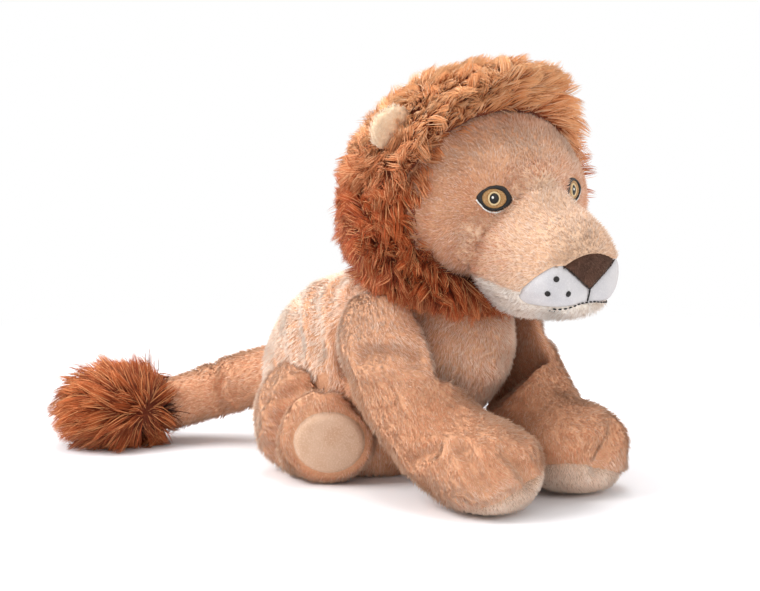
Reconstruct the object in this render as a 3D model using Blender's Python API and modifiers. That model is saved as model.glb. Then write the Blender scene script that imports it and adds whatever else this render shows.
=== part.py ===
# A plush lion that sits on its hindquarters with its forelegs stretched out in front of it.
# Metres, +Z up. The lion looks along -Y and its left side is +X.
# The floor is Z = 0, the lion's mid-plane is X = 0.

import math

import bmesh
import bpy
from mathutils import Matrix, Vector

# Fits
GAP = 0.0004            # between two sewn pieces that lie face to face
SKIN = 0.0016           # plush fabric with its backing
LINING = 0.0012         # between a skin and the stuffing in it
PROUD = 0.0009          # how far embroidery stands out of the fabric
OVERRUN = 0.02          # how far a cutter runs past what it cuts
SEAT_OVERRUN = 0.003    # how far a seat runs past the face that ends it
CUTTER_REACH = 0.25     # how far a cutter that stands for one side of a seam reaches

# Torso, as level slices from the floor to the nape
TORSO_HEIGHT = 0.117
TORSO_FRONT = 0.076
TORSO_BACK = 0.098
TORSO_HALF_WIDTH = 0.054
TORSO_FLAT = 0.0025     # how much of the round underside is pressed flat by the floor
# Share of the height, then of the front reach, of the back reach and of the half width
TORSO_SHARES = (
    (0.00, 0.16, 0.80, 0.62),
    (0.07, 0.22, 0.91, 0.86),
    (0.25, 0.30, 0.99, 0.95),
    (0.50, 0.90, 0.99, 0.99),
    (0.68, 1.01, 0.93, 0.98),
    (0.84, 0.98, 0.77, 0.89),
    (0.95, 0.86, 0.51, 0.76),
    (1.00, 0.68, 0.22, 0.48),
)
SEAM_Y = 0.002          # seam between the chest panel and the rump panel, at the back line
SEAM_LEAN = math.radians(-7)

# Neck
NECK_Y = -0.040
NECK_SINK = 0.005       # how far the neck's middle lies below the torso's top
NECK_Z = TORSO_HEIGHT - NECK_SINK
NECK_RADIUS = 0.030
NECK_ROOM = 0.0003      # extra room round the neck, which lets the head turn and nod

# Head, an egg lying on its side
HEAD_Y = -0.054
HEAD_RISE = 0.053       # the head's middle over the neck's
HEAD_Z = NECK_Z + HEAD_RISE
HEAD_HALF_WIDTH = 0.0745
HEAD_HALF_DEPTH = 0.0565
HEAD_HALF_HEIGHT = 0.052
EGG_SHARES = (-0.96, -0.74, -0.27, 0.27, 0.74, 0.96)

# Muzzle, as upright slices from inside the head to the nose
MUZZLE_ROOT_Y = -0.080
MUZZLE_TIP_Y = -0.1392
MUZZLE_ROOT_DROP = 0.0215       # below the head's middle
MUZZLE_TIP_DROP = 0.038
MUZZLE_ROOT_Z = HEAD_Z - MUZZLE_ROOT_DROP
MUZZLE_TIP_Z = HEAD_Z - MUZZLE_TIP_DROP
MUZZLE_HALF_WIDTH = 0.036
MUZZLE_HALF_HEIGHT = 0.0385
# Share of the way to the tip, then of the half width and of the half height
MUZZLE_SHARES = (
    (0.00, 1.00, 1.00),
    (0.36, 0.99, 0.93),
    (0.72, 0.91, 0.735),
    (0.95, 0.74, 0.55),
    (1.00, 0.48, 0.35),
)
PAD_TOP_DROP = 0.0322   # the white pads' upper seam at the nose, below the head's middle
PAD_TOP_Z = HEAD_Z - PAD_TOP_DROP
PAD_TOP_Y = -0.133
PAD_SLOPE = math.radians(37)
MOUTH_DROP = 0.0525
MOUTH_Z = HEAD_Z - MOUTH_DROP   # seam between the pads and the chin
NOSE_HALF_WIDTH = 0.0175
NOSE_TOP_HALF_WIDTH = 0.0155
NOSE_TOP_DROP = 0.0265
NOSE_CORNER_DROP = 0.0290
NOSE_TIP_DROP = 0.0448
NOSE_TOP_Z = HEAD_Z - NOSE_TOP_DROP
NOSE_CORNER_Z = HEAD_Z - NOSE_CORNER_DROP
NOSE_TIP_Z = HEAD_Z - NOSE_TIP_DROP
NOSE_BACK_Y = -0.118
STITCH_RADIUS = 0.0006
MOUTH_HALF_WIDTH = 0.021
WHISKER_RADIUS = 0.0016
WHISKER_X = 0.0208
WHISKER_DROP = 0.0425
WHISKER_Z = HEAD_Z - WHISKER_DROP
WHISKER_SPREAD = 0.0052

# Eyes, embroidered
EYE_X = 0.0335
EYE_RISE = 0.0025
EYE_Z = HEAD_Z + EYE_RISE
EYE_HALF_LENGTH = 0.0093
EYE_HALF_HEIGHT = 0.0062
EYE_TILT = math.radians(8)
EYE_TURN = math.radians(22)
IRIS_RADIUS = 0.0049
PUPIL_RADIUS = 0.0022
EYE_DEPTH = 0.030       # how far an eye's cutter reaches in and out of the face

# Mane, as upright slices from its front rim to the nape
MANE_FRONT_Y = -0.101
MANE_BACK_Y = 0.012
MANE_Z = HEAD_Z
MANE_NAPE_DROP = 0.007
MANE_NAPE_Z = MANE_Z - MANE_NAPE_DROP
MANE_HALF_WIDTH = 0.0745
MANE_HALF_HEIGHT = 0.0725
# Share of the way to the nape, then of the half width and of the half height
MANE_SHARES = (
    (0.00, 0.87, 0.88),
    (0.12, 0.98, 0.99),
    (0.38, 1.00, 1.00),
    (0.66, 0.89, 0.88),
    (0.89, 0.60, 0.60),
    (1.00, 0.30, 0.30),
)
FACE_RIM_Y = -0.070     # where the pile leaves the cheeks
FACE_HOLLOW = 0.112     # radius of the hollow curve of the mane's front, seen from the side
RUFF_RISE = math.radians(8)
RUFF_TILT = math.radians(11)
RUFF_REACH = 0.16

# Ears
EAR_X = 0.0580
EAR_Y = -0.055
EAR_RISE = 0.0335
EAR_Z = HEAD_Z + EAR_RISE
EAR_LEAN = math.radians(32)
EAR_TURN = math.radians(16)
EAR_HEIGHT = 0.0165
EAR_HALF_WIDTH = 0.0135
EAR_HALF_THICKNESS = 0.0042
EAR_FLOP = math.radians(14)
EAR_ROOM = 0.0008       # between an ear's root and the skull or the mane beside it
# Share of the height, then of the half width and of the half thickness
EAR_SHARES = (
    (-0.13, 0.70, 0.55),
    (0.00, 0.90, 0.95),
    (0.35, 1.00, 1.00),
    (0.68, 0.90, 0.86),
    (0.92, 0.62, 0.66),
    (1.00, 0.30, 0.36),
)

# Forelegs
SHOULDER_X = 0.044
SHOULDER_Y = -0.034
SHOULDER_DROP = 0.035   # below the torso's top
SHOULDER_Z = TORSO_HEIGHT - SHOULDER_DROP
SHOULDER_RADIUS = 0.0345        # of the flat seat on the body's side
CHEST_RADIUS = 0.040            # of the room for the chest between the forelegs, at the seat
CHEST_MID_RADIUS = 0.052        # and at the mid-plane
FORELEG_X = 0.034
FORELEG_REACH = 0.1255
FORELEG_HALF_WIDTH = 0.031
FORELEG_HALF_HEIGHT = 0.0258
FORELEG_TOP_DROP = 0.004
FORELEG_TOP_Z = TORSO_HEIGHT - FORELEG_TOP_DROP
# Share of the reach, of the way up to the shoulder's top, of the sideways shift out to the
# shoulder, then of the half width and of the half height
FORELEG_SHARES = (
    (0.23, 1.00, 1.0, 0.28, 0.54),
    (0.235, 0.91, 1.0, 0.50, 1.04),
    (0.27, 0.71, 0.97, 0.62, 1.27),
    (0.385, 0.51, 0.75, 0.75, 1.10),
    (0.57, 0.30, 0.45, 0.91, 0.95),
    (0.73, 0.222, 0.25, 1.00, 1.02),
    (0.865, 0.208, 0.05, 1.00, 0.99),
    (0.965, 0.200, 0.0, 0.84, 0.82),
    (1.00, 0.197, 0.0, 0.46, 0.42),
)
SHOULDER_SHIFT = 0.012
SOLE_HEEL_SHARE = 0.526  # of the reach
SOLE_HEEL_Y = -FORELEG_REACH * SOLE_HEEL_SHARE
SOLE_TOE_RISE = math.radians(9)

# Hind legs
HIP_X = 0.040
HIP_Y = 0.041
HIP_Z = 0.035
HIP_HINGE_X = 0.048      # the upright hinge line, at the seam behind the thigh
HIP_HINGE_Y = 0.068
FOOT_X = 0.057
FOOT_Y = -0.005
FOOT_Z = 0.0248
FOOT_OUT = math.radians(42)
FOOT_DOWN = math.radians(12)
HINDLEG_HALF_WIDTH = 0.0275
HINDLEG_HALF_HEIGHT = 0.0285
# Share of the way from the hip to the foot, then of the half width and of the half height
HINDLEG_SHARES = (
    (-0.43, 0.54, 0.66),
    (-0.25, 0.88, 1.10),
    (-0.02, 1.03, 1.26),
    (0.28, 1.03, 1.19),
    (0.55, 1.00, 1.08),
    (0.80, 1.00, 0.98),
    (0.95, 0.86, 0.84),
    (1.00, 0.60, 0.58),
)
HINDSOLE_DEPTH = 0.0045

# Tail
TAIL_Y = 0.092
TAIL_Z = 0.046
TAIL_ROOT_RADIUS = 0.0175
TAIL_SOCKET = 0.0205
TAIL_SIDE = 0.066
TAIL_LENGTH_Y = 0.078
TAIL_DROP = 0.030
# Share of the sideways sweep, of the way back, of the drop to the floor and of the root's radius
TAIL_SHARES = (
    (0.00, -0.36, -0.06, 0.92),
    (0.00, -0.08, -0.02, 1.00),
    (0.03, 0.14, 0.04, 0.99),
    (0.20, 0.45, 0.29, 0.93),
    (0.46, 0.75, 0.66, 0.86),
    (0.76, 0.94, 0.91, 0.80),
    (1.00, 1.00, 1.00, 0.60),
)
TUFT_LENGTH = 0.066
TUFT_HALF_WIDTH = 0.031
TUFT_HALF_HEIGHT = 0.0255
TUFT_Z = 0.0243
TUFT_OUT = math.radians(80)     # the tuft's way, swung from straight back to the lion's right
# Share of the length, then of the half width and height
TUFT_SHARES = (
    (-0.38, 0.50),
    (-0.24, 0.82),
    (0.00, 1.00),
    (0.26, 0.97),
    (0.48, 0.72),
    (0.60, 0.36),
)

WIDE_RING = 10          # points round a large form's cage
SLIM_RING = 8           # points round a limb's cage
THIN_RING = 6           # points round the tail's and the ears' cages
SEAT_SIDES = 20         # flat sides of a seat that something turns in
NECK_SIDES = 24         # and of the neck's ball and its seats
FACE_HOLLOW_SIDES = 28  # flat sides of the drum that hollows the mane's front
DETAIL = 1              # subdivision level of every soft form
STEEP = 0.1             # a path this near to upright has its slices' side along X


def clear_scene():
    for old in list(bpy.data.objects):
        bpy.data.objects.remove(old, do_unlink=True)


def new_collection(name):
    collection = bpy.data.collections.new(name)
    bpy.context.scene.collection.children.link(collection)
    return collection


clear_scene()
PARTS = new_collection("plush_lion")
CUTTERS = new_collection("cutters")


def material(name, colour, roughness):
    made = bpy.data.materials.new(name)
    made.use_nodes = True
    shader = made.node_tree.nodes["Principled BSDF"]
    shader.inputs["Base Color"].default_value = (*colour, 1.0)
    shader.inputs["Roughness"].default_value = roughness
    shader.inputs["Metallic"].default_value = 0.0
    return made


PLUSH = material("tan_plush", (0.72, 0.42, 0.22), 0.95)
PALE_PLUSH = material("cream_plush", (0.83, 0.60, 0.36), 0.95)
MANE_PILE = material("mane_pile", (0.45, 0.13, 0.04), 0.9)
WHITE_PLUSH = material("white_plush", (0.86, 0.83, 0.80), 0.95)
SOLE_VELOUR = material("sole_velour", (0.75, 0.52, 0.35), 0.9)
EAR_VELOUR = material("ear_velour", (0.88, 0.68, 0.45), 0.9)
NOSE_VELOUR = material("nose_velour", (0.075, 0.035, 0.022), 0.9)
BLACK_THREAD = material("black_thread", (0.012, 0.010, 0.009), 0.55)
AMBER_THREAD = material("amber_thread", (0.45, 0.20, 0.04), 0.5)
FIBREFILL = material("fibrefill", (0.85, 0.85, 0.84), 1.0)


def put(obj, collection, finish=None):
    collection.objects.link(obj)
    if finish is not None:
        obj.data.materials.append(finish)
    if collection is CUTTERS:
        obj.hide_render = True
        obj.display_type = "WIRE"
    return obj


def smooth_form(obj):
    fine = obj.modifiers.new("fine", "SUBSURF")
    fine.levels = DETAIL
    fine.render_levels = DETAIL
    obj.modifiers.new("flat_faces", "TRIANGULATE")


def hang(obj, pivot):
    # Puts a moving piece's origin on its joint and leaves its shape where it is
    obj.data.transform(Matrix.Translation(-Vector(pivot)))
    obj.location = pivot
    return obj


def cut(obj, *cutters):
    for cutter in cutters:
        boolean = obj.modifiers.new(cutter.name, "BOOLEAN")
        boolean.operation = "DIFFERENCE"
        boolean.solver = "EXACT"
        boolean.object = cutter


def keep(obj, *cutters):
    for cutter in cutters:
        boolean = obj.modifiers.new(cutter.name, "BOOLEAN")
        boolean.operation = "INTERSECT"
        boolean.solver = "EXACT"
        boolean.object = cutter


def add(obj, *others):
    for other in others:
        boolean = obj.modifiers.new(other.name, "BOOLEAN")
        boolean.operation = "UNION"
        boolean.solver = "EXACT"
        boolean.object = other


# A slice of a soft form: its middle, the two directions across it and its reach along them
class Slice:
    def __init__(self, middle, side, rise, half_side, half_rise):
        self.middle = Vector(middle)
        self.side = Vector(side).normalized()
        self.rise = Vector(rise).normalized()
        self.half_side = half_side
        self.half_rise = half_rise


def upright_slices(path, half_sides, half_rises, last_facing=None):
    # Slices square to a path, with their side direction level
    slices = []
    for index, point in enumerate(path):
        before = path[max(index - 1, 0)]
        after = path[min(index + 1, len(path) - 1)]
        along = (Vector(after) - Vector(before)).normalized()
        if last_facing is not None and index >= len(path) - 2:
            along = Vector(last_facing).normalized()
        level = Vector((0, 0, 1)).cross(along)
        side = level.normalized() if level.length > STEEP else Vector((1, 0, 0))
        slices.append(Slice(point, side, along.cross(side), half_sides[index], half_rises[index]))
    return slices


def loft(name, slices, ring, grow, collection, finish=None):
    # A coarse cage of rings, closed at both ends and grown outward or inward by one distance
    mesh = bpy.data.meshes.new(name)
    shape = bmesh.new()
    fullness = 1 / math.cos(math.pi / ring)
    first_way = (slices[0].middle - slices[1].middle).normalized()
    last_way = (slices[-1].middle - slices[-2].middle).normalized()
    rings = []
    for index, part in enumerate(slices):
        middle = part.middle.copy()
        if index == 0:
            middle += first_way * grow
        if index == len(slices) - 1:
            middle += last_way * grow
        points = []
        for step in range(ring):
            angle = 2 * math.pi * (step + 0.5) / ring
            across = part.side * math.cos(angle) * (part.half_side + grow) * fullness
            upward = part.rise * math.sin(angle) * (part.half_rise + grow) * fullness
            points.append(shape.verts.new(middle + across + upward))
        rings.append(points)
    for low, high in zip(rings, rings[1:]):
        for step in range(ring):
            following = (step + 1) % ring
            shape.faces.new((low[step], low[following], high[following], high[step]))
    shape.faces.new(rings[0])
    shape.faces.new(rings[-1])
    bmesh.ops.recalc_face_normals(shape, faces=shape.faces)
    shape.to_mesh(mesh)
    shape.free()
    mesh.shade_smooth()
    obj = put(bpy.data.objects.new(name, mesh), collection, finish)
    smooth_form(obj)
    return obj


def block(name, low, high, turn=None, about=(0, 0, 0)):
    # A plain box between two corners, turned about a point
    mesh = bpy.data.meshes.new(name)
    shape = bmesh.new()
    bmesh.ops.create_cube(shape, size=1.0)
    size = Vector(high) - Vector(low)
    middle = (Vector(high) + Vector(low)) / 2
    place = Matrix.Translation(middle) @ Matrix.Diagonal((*size, 1))
    if turn is not None:
        pin = Vector(about)
        place = Matrix.Translation(pin) @ turn.to_4x4() @ Matrix.Translation(-pin) @ place
    shape.transform(place)
    shape.to_mesh(mesh)
    shape.free()
    return put(bpy.data.objects.new(name, mesh), CUTTERS)


def region(name, *blocks, without=()):
    # The space that several cutters share, less what others take from it
    first = blocks[0]
    first.name = name
    keep(first, *blocks[1:])
    cut(first, *without)
    return first


def ball(name, middle, radii, collection, finish=None, around=SEAT_SIDES):
    mesh = bpy.data.meshes.new(name)
    shape = bmesh.new()
    bmesh.ops.create_uvsphere(shape, u_segments=around, v_segments=around // 2, radius=1.0)
    shape.transform(Matrix.Translation(Vector(middle)) @ Matrix.Diagonal((*radii, 1)))
    shape.to_mesh(mesh)
    shape.free()
    mesh.shade_smooth()
    return put(bpy.data.objects.new(name, mesh), collection, finish)


def drum(name, middle, axis, radius, depth, around=SEAT_SIDES, end_radius=None):
    # A round cutter along an axis, whose middle is given
    mesh = bpy.data.meshes.new(name)
    shape = bmesh.new()
    far = radius if end_radius is None else end_radius
    bmesh.ops.create_cone(shape, cap_ends=True, segments=around,
                          radius1=radius, radius2=far, depth=depth)
    turn = Vector(axis).to_track_quat("Z", "Y").to_matrix().to_4x4()
    shape.transform(Matrix.Translation(Vector(middle)) @ turn)
    shape.to_mesh(mesh)
    shape.free()
    return put(bpy.data.objects.new(name, mesh), CUTTERS)


# Torso
def torso_slices():
    slices = []
    for height, front, back, width in TORSO_SHARES:
        y_front = -TORSO_FRONT * front
        y_back = TORSO_BACK * back
        middle = (0, (y_front + y_back) / 2, TORSO_HEIGHT * height - TORSO_FLAT)
        half_length = (y_back - y_front) / 2
        slices.append(Slice(middle, (1, 0, 0), (0, 1, 0), TORSO_HALF_WIDTH * width, half_length))
    return slices


def torso_form(name, grow, collection, finish=None, ring=WIDE_RING):
    return loft(name, torso_slices(), ring, grow, collection, finish)


def torso_recesses(name, clear, deeper=0):
    # Round seats for the tail and the shoulders, each about its joint
    seats = [ball(name + "_tail", tail_root(), (TAIL_SOCKET + clear,) * 3, CUTTERS)]
    for tag, sign in SIDES:
        depth = TORSO_HALF_WIDTH
        x_seat = SHOULDER_X - clear - deeper + depth / 2
        seats.append(drum(name + "_shoulder" + tag, (sign * x_seat, SHOULDER_Y, SHOULDER_Z),
                          (1, 0, 0), SHOULDER_RADIUS + clear, depth))
    return seats


SIDES = (("_left", 1), ("_right", -1))


def neck_point():
    return Vector((0, NECK_Y, NECK_Z))


def shoulder_point(sign):
    return Vector((sign * SHOULDER_X, SHOULDER_Y, SHOULDER_Z))


def hip_point(sign):
    return Vector((sign * HIP_X, HIP_Y, HIP_Z))


def hip_hinge(sign):
    return Vector((sign * HIP_HINGE_X, HIP_HINGE_Y, HIP_Z))


def tail_root():
    return Vector((0, TAIL_Y, TAIL_Z))


def ear_root(sign):
    return Vector((sign * EAR_X, EAR_Y, EAR_Z))


def seam_block(name, front, clear):
    # Everything in front of the body seam, or behind it
    turn = Matrix.Rotation(SEAM_LEAN, 3, "X")
    low_y = -CUTTER_REACH if front else clear
    high_y = -clear if front else CUTTER_REACH
    low = (-CUTTER_REACH, SEAM_Y + low_y, -CUTTER_REACH)
    high = (CUTTER_REACH, SEAM_Y + high_y, CUTTER_REACH)
    return block(name, low, high, turn, (0, SEAM_Y, TORSO_HEIGHT))


def floor_block(name, top):
    return block(name, (-CUTTER_REACH, -CUTTER_REACH, -OVERRUN), (CUTTER_REACH, CUTTER_REACH, top))


FLOOR = floor_block("floor", 0)
INNER_FLOOR = floor_block("inner_floor", SKIN)
STUFFING_FLOOR = floor_block("stuffing_floor", SKIN + LINING)
NECK_SEAT = ball("neck_seat", neck_point(), (NECK_RADIUS + NECK_ROOM + GAP,) * 3, CUTTERS,
                 around=NECK_SIDES)
TORSO_SEATS = torso_recesses("torso_seat", GAP)
TORSO_INNER = torso_form("torso_inner", -SKIN, CUTTERS)
cut(TORSO_INNER, INNER_FLOOR, *torso_recesses("torso_inner_seat", GAP + SKIN))


def torso_room(name, clear):
    # The torso with room round it: what a piece that leans on it is cut by
    room = torso_form(name, clear, CUTTERS)
    cut(room, *torso_recesses(name + "_seat", GAP - clear, SEAT_OVERRUN))
    return room


SKIN_ROOM = torso_room("skin_room", GAP)
INNER_ROOM = torso_room("inner_room", GAP + SKIN)
STUFFING_ROOM = torso_room("stuffing_room", GAP + SKIN + LINING)


def torso_panel(name, front):
    panel = torso_form(name, 0, PARTS, PLUSH)
    keep(panel, seam_block(name + "_seam", front, GAP / 2))
    cut(panel, TORSO_INNER, FLOOR, *TORSO_SEATS)
    return panel


chest_skin = torso_panel("chest_skin", True)
cut(chest_skin, NECK_SEAT)
rump_skin = torso_panel("rump_skin", False)
body_stuffing = torso_form("body_stuffing", -SKIN - LINING, PARTS, FIBREFILL, SLIM_RING)
cut(body_stuffing, STUFFING_FLOOR, NECK_SEAT, *torso_recesses("stuffing_seat", GAP + SKIN + LINING))

# Neck
neck_stuffing = ball("neck_stuffing", neck_point(), (NECK_RADIUS,) * 3, PARTS, FIBREFILL,
                     around=NECK_SIDES)
hang(neck_stuffing, neck_point())


# Head
def head_form(name, grow, collection, finish=None, ring=WIDE_RING):
    slices = []
    for share in EGG_SHARES:
        round_share = math.sqrt(1 - share * share)
        middle = (0, HEAD_Y, HEAD_Z + HEAD_HALF_HEIGHT * share)
        slices.append(Slice(middle, (1, 0, 0), (0, 1, 0),
                            HEAD_HALF_WIDTH * round_share, HEAD_HALF_DEPTH * round_share))
    return loft(name, slices, ring, grow, collection, finish)


def muzzle_form(name, grow, collection, finish=None, ring=WIDE_RING):
    slices = []
    for share, width, height in MUZZLE_SHARES:
        y = MUZZLE_ROOT_Y + (MUZZLE_TIP_Y - MUZZLE_ROOT_Y) * share
        z = MUZZLE_ROOT_Z + (MUZZLE_TIP_Z - MUZZLE_ROOT_Z) * share
        slices.append(Slice((0, y, z), (1, 0, 0), (0, 0, 1),
                            MUZZLE_HALF_WIDTH * width, MUZZLE_HALF_HEIGHT * height))
    return loft(name, slices, ring, grow, collection, finish)


HEAD_CLEAR = head_form("head_clear", GAP, CUTTERS)
HEAD_INNER = head_form("head_inner", -SKIN, CUTTERS)
MUZZLE_CLEAR = muzzle_form("muzzle_clear", GAP, CUTTERS)
MUZZLE_INNER = muzzle_form("muzzle_inner", -SKIN, CUTTERS)
MUZZLE_CORE = muzzle_form("muzzle_core", -SKIN - LINING, CUTTERS, None, SLIM_RING)

head_skin = head_form("head_skin", 0, PARTS, PLUSH)
cut(head_skin, HEAD_INNER, MUZZLE_CLEAR, NECK_SEAT)
hang(head_skin, neck_point())

head_stuffing = head_form("head_stuffing", -SKIN - LINING, PARTS, FIBREFILL, SLIM_RING)
add(head_stuffing, MUZZLE_CORE)
cut(head_stuffing, NECK_SEAT)
hang(head_stuffing, neck_point())


# Muzzle panels: regions of one shell, parted along the seams
def above_pads(name, above, clear):
    # What lies above and behind the sloping seam over the white pads, or below and before it
    low_z = clear if above else -CUTTER_REACH
    high_z = CUTTER_REACH if above else -clear
    low = (-CUTTER_REACH, PAD_TOP_Y - CUTTER_REACH, PAD_TOP_Z + low_z)
    high = (CUTTER_REACH, PAD_TOP_Y + CUTTER_REACH, PAD_TOP_Z + high_z)
    turn = Matrix.Rotation(-PAD_SLOPE, 3, "X")
    return block(name, low, high, turn, (0, PAD_TOP_Y, PAD_TOP_Z))


def above_mouth(name, above, clear):
    low_z = clear if above else -CUTTER_REACH
    high_z = CUTTER_REACH if above else -clear
    return block(name, (-CUTTER_REACH, HEAD_Y - CUTTER_REACH, MOUTH_Z + low_z),
                 (CUTTER_REACH, HEAD_Y, MOUTH_Z + high_z))


def nose_wedge(name, grow):
    # The nose's outline from the front: a broad top, two corners and a point below
    outline = (
        (-NOSE_TOP_HALF_WIDTH - grow / 2, NOSE_TOP_Z + grow),
        (-NOSE_HALF_WIDTH - grow * 2, NOSE_CORNER_Z - grow / 4),
        (0, NOSE_TIP_Z - grow * 2),
        (NOSE_HALF_WIDTH + grow * 2, NOSE_CORNER_Z - grow / 4),
        (NOSE_TOP_HALF_WIDTH + grow / 2, NOSE_TOP_Z + grow),
    )
    return prism(name, outline, Matrix.Identity(3), (0, 0, 0), MUZZLE_TIP_Y - OVERRUN,
                 NOSE_BACK_Y + grow)


def prism(name, outline, turn, place, near, far):
    # An outline in X and Z, drawn out along Y from near to far, then turned and placed
    mesh = bpy.data.meshes.new(name)
    shape = bmesh.new()
    corners = [shape.verts.new((x, near, z)) for x, z in outline]
    face = shape.faces.new(corners)
    drawn = bmesh.ops.extrude_face_region(shape, geom=[face])
    moved = [item for item in drawn["geom"] if isinstance(item, bmesh.types.BMVert)]
    bmesh.ops.translate(shape, verts=moved, vec=(0, far - near, 0))
    bmesh.ops.recalc_face_normals(shape, faces=shape.faces)
    shape.transform(Matrix.Translation(Vector(place)) @ turn.to_4x4())
    shape.to_mesh(mesh)
    shape.free()
    return put(bpy.data.objects.new(name, mesh), CUTTERS)


def muzzle_panel(name, finish):
    panel = muzzle_form(name, 0, PARTS, finish)
    cut(panel, MUZZLE_INNER, HEAD_CLEAR)
    return hang(panel, neck_point())


NOSE_ROOM = nose_wedge("nose_room", GAP)
HALF_GAP = GAP / 2

muzzle_bridge = muzzle_panel("muzzle_bridge", PALE_PLUSH)
keep(muzzle_bridge, region("bridge_region", above_pads("bridge_side", True, HALF_GAP),
                           above_mouth("bridge_over_mouth", True, HALF_GAP),
                           without=(NOSE_ROOM,)))

for tag, sign in SIDES:
    pad = muzzle_panel("whisker_pad" + tag, WHITE_PLUSH)
    low_x = HALF_GAP if sign > 0 else -CUTTER_REACH
    high_x = CUTTER_REACH if sign > 0 else -HALF_GAP
    half = block("pad_half" + tag, (low_x, MUZZLE_TIP_Y - OVERRUN, MUZZLE_TIP_Z - CUTTER_REACH),
                 (high_x, MUZZLE_ROOT_Y, MUZZLE_TIP_Z + CUTTER_REACH))
    keep(pad, region("pad_region" + tag, above_pads("pad_side" + tag, False, HALF_GAP),
                     above_mouth("pad_over_mouth" + tag, True, HALF_GAP), half,
                     without=(NOSE_ROOM,)))

chin = muzzle_panel("chin", WHITE_PLUSH)
keep(chin, above_mouth("chin_under_mouth", False, HALF_GAP))

nose = muzzle_form("nose", 0, PARTS, NOSE_VELOUR)
cut(nose, MUZZLE_INNER)
keep(nose, nose_wedge("nose_outline", 0))
hang(nose, neck_point())


# Embroidery on the muzzle: thin raised patches and lines that follow its surface
STITCH_BACK_Y = (MUZZLE_TIP_Y + MUZZLE_ROOT_Y) / 2
MUZZLE_THREAD_BED = muzzle_form("muzzle_thread_bed", GAP, CUTTERS)


def raised_dot(name, x, z, radius):
    dot = muzzle_form(name, GAP + PROUD, PARTS, BLACK_THREAD)
    stamp = drum(name + "_stamp", (x, MUZZLE_TIP_Y, z), (0, 1, 0), radius, OVERRUN * 2, around=8)
    keep(dot, stamp)
    cut(dot, MUZZLE_THREAD_BED)
    return hang(dot, neck_point())


for tag, sign in SIDES:
    for number in range(3):
        angle = math.radians(90) + 2 * math.pi * number / 3
        x = WHISKER_X + WHISKER_SPREAD * math.cos(angle)
        z = WHISKER_Z + WHISKER_SPREAD * math.sin(angle)
        raised_dot(f"whisker_dot{tag}_{number + 1}", sign * x, z, WHISKER_RADIUS)

mouth_stitch = muzzle_form("mouth_stitch", GAP + PROUD, PARTS, BLACK_THREAD)
keep(mouth_stitch, block("mouth_line",
                         (-MOUTH_HALF_WIDTH, MUZZLE_TIP_Y - OVERRUN, MOUTH_Z - STITCH_RADIUS),
                         (MOUTH_HALF_WIDTH, STITCH_BACK_Y, MOUTH_Z + STITCH_RADIUS)))
cut(mouth_stitch, MUZZLE_THREAD_BED)
hang(mouth_stitch, neck_point())

lip_stitch = muzzle_form("lip_stitch", GAP + PROUD, PARTS, BLACK_THREAD)
keep(lip_stitch, block("lip_line",
                       (-STITCH_RADIUS, MUZZLE_TIP_Y - OVERRUN, MOUTH_Z + STITCH_RADIUS + GAP),
                       (STITCH_RADIUS, STITCH_BACK_Y, NOSE_TIP_Z - GAP)))
cut(lip_stitch, MUZZLE_THREAD_BED)
hang(lip_stitch, neck_point())

# Eyes: three rings of thread on the face, one inside the other
HEAD_THREAD_BED = head_form("head_thread_bed", GAP, CUTTERS)


def almond(half_length, half_height, grow):
    # Two shallow arcs that meet in the corners of the eye
    points = []
    steps = 7
    for index in range(steps):
        share = -1 + 2 * index / steps
        points.append((share * (half_length + grow), (1 - share * share) * (half_height + grow)))
    for index in range(steps):
        share = 1 - 2 * index / steps
        points.append((share * (half_length + grow), -(1 - share * share) * (half_height + grow)))
    return points


def circle(radius, count=12):
    return [(radius * math.cos(2 * math.pi * step / count),
             radius * math.sin(2 * math.pi * step / count)) for step in range(count)]


def eye_stamp(name, outline, sign):
    turn = Matrix.Rotation(sign * EYE_TURN, 3, "Z") @ Matrix.Rotation(sign * EYE_TILT, 3, "Y")
    place = (sign * EYE_X, HEAD_Y - HEAD_HALF_DEPTH * math.cos(EYE_TURN), EYE_Z)
    return prism(name, outline, turn, place, -EYE_DEPTH, EYE_DEPTH)


def eye_ring(name, outline, hole, sign, finish):
    ring = head_form(name, GAP + PROUD, PARTS, finish)
    keep(ring, eye_stamp(name + "_stamp", outline, sign))
    if hole is not None:
        cut(ring, eye_stamp(name + "_hole", hole, sign))
    cut(ring, HEAD_THREAD_BED, MUZZLE_CLEAR)
    return hang(ring, neck_point())


for tag, sign in SIDES:
    rim = almond(EYE_HALF_LENGTH, EYE_HALF_HEIGHT, 0)
    eye_ring("eye_rim" + tag, rim, circle(IRIS_RADIUS + GAP), sign, BLACK_THREAD)
    eye_ring("iris" + tag, circle(IRIS_RADIUS), circle(PUPIL_RADIUS + GAP), sign, AMBER_THREAD)
    eye_ring("pupil" + tag, circle(PUPIL_RADIUS), None, sign, BLACK_THREAD)


# Mane
def mane_form(name, grow, collection, finish=None):
    slices = []
    for share, width, height in MANE_SHARES:
        y = MANE_FRONT_Y + (MANE_BACK_Y - MANE_FRONT_Y) * share
        z = MANE_Z + (MANE_NAPE_Z - MANE_Z) * share
        slices.append(Slice((0, y, z), (1, 0, 0), (0, 0, 1),
                            MANE_HALF_WIDTH * width, MANE_HALF_HEIGHT * height))
    return loft(name, slices, WIDE_RING, grow, collection, finish)


def face_front():
    # What lies in front of the mane: it stands further forward over the brow and under the chin
    return drum("face_front", (0, FACE_RIM_Y - FACE_HOLLOW, HEAD_Z), (1, 0, 0), FACE_HOLLOW,
                CUTTER_REACH, around=FACE_HOLLOW_SIDES)


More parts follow.
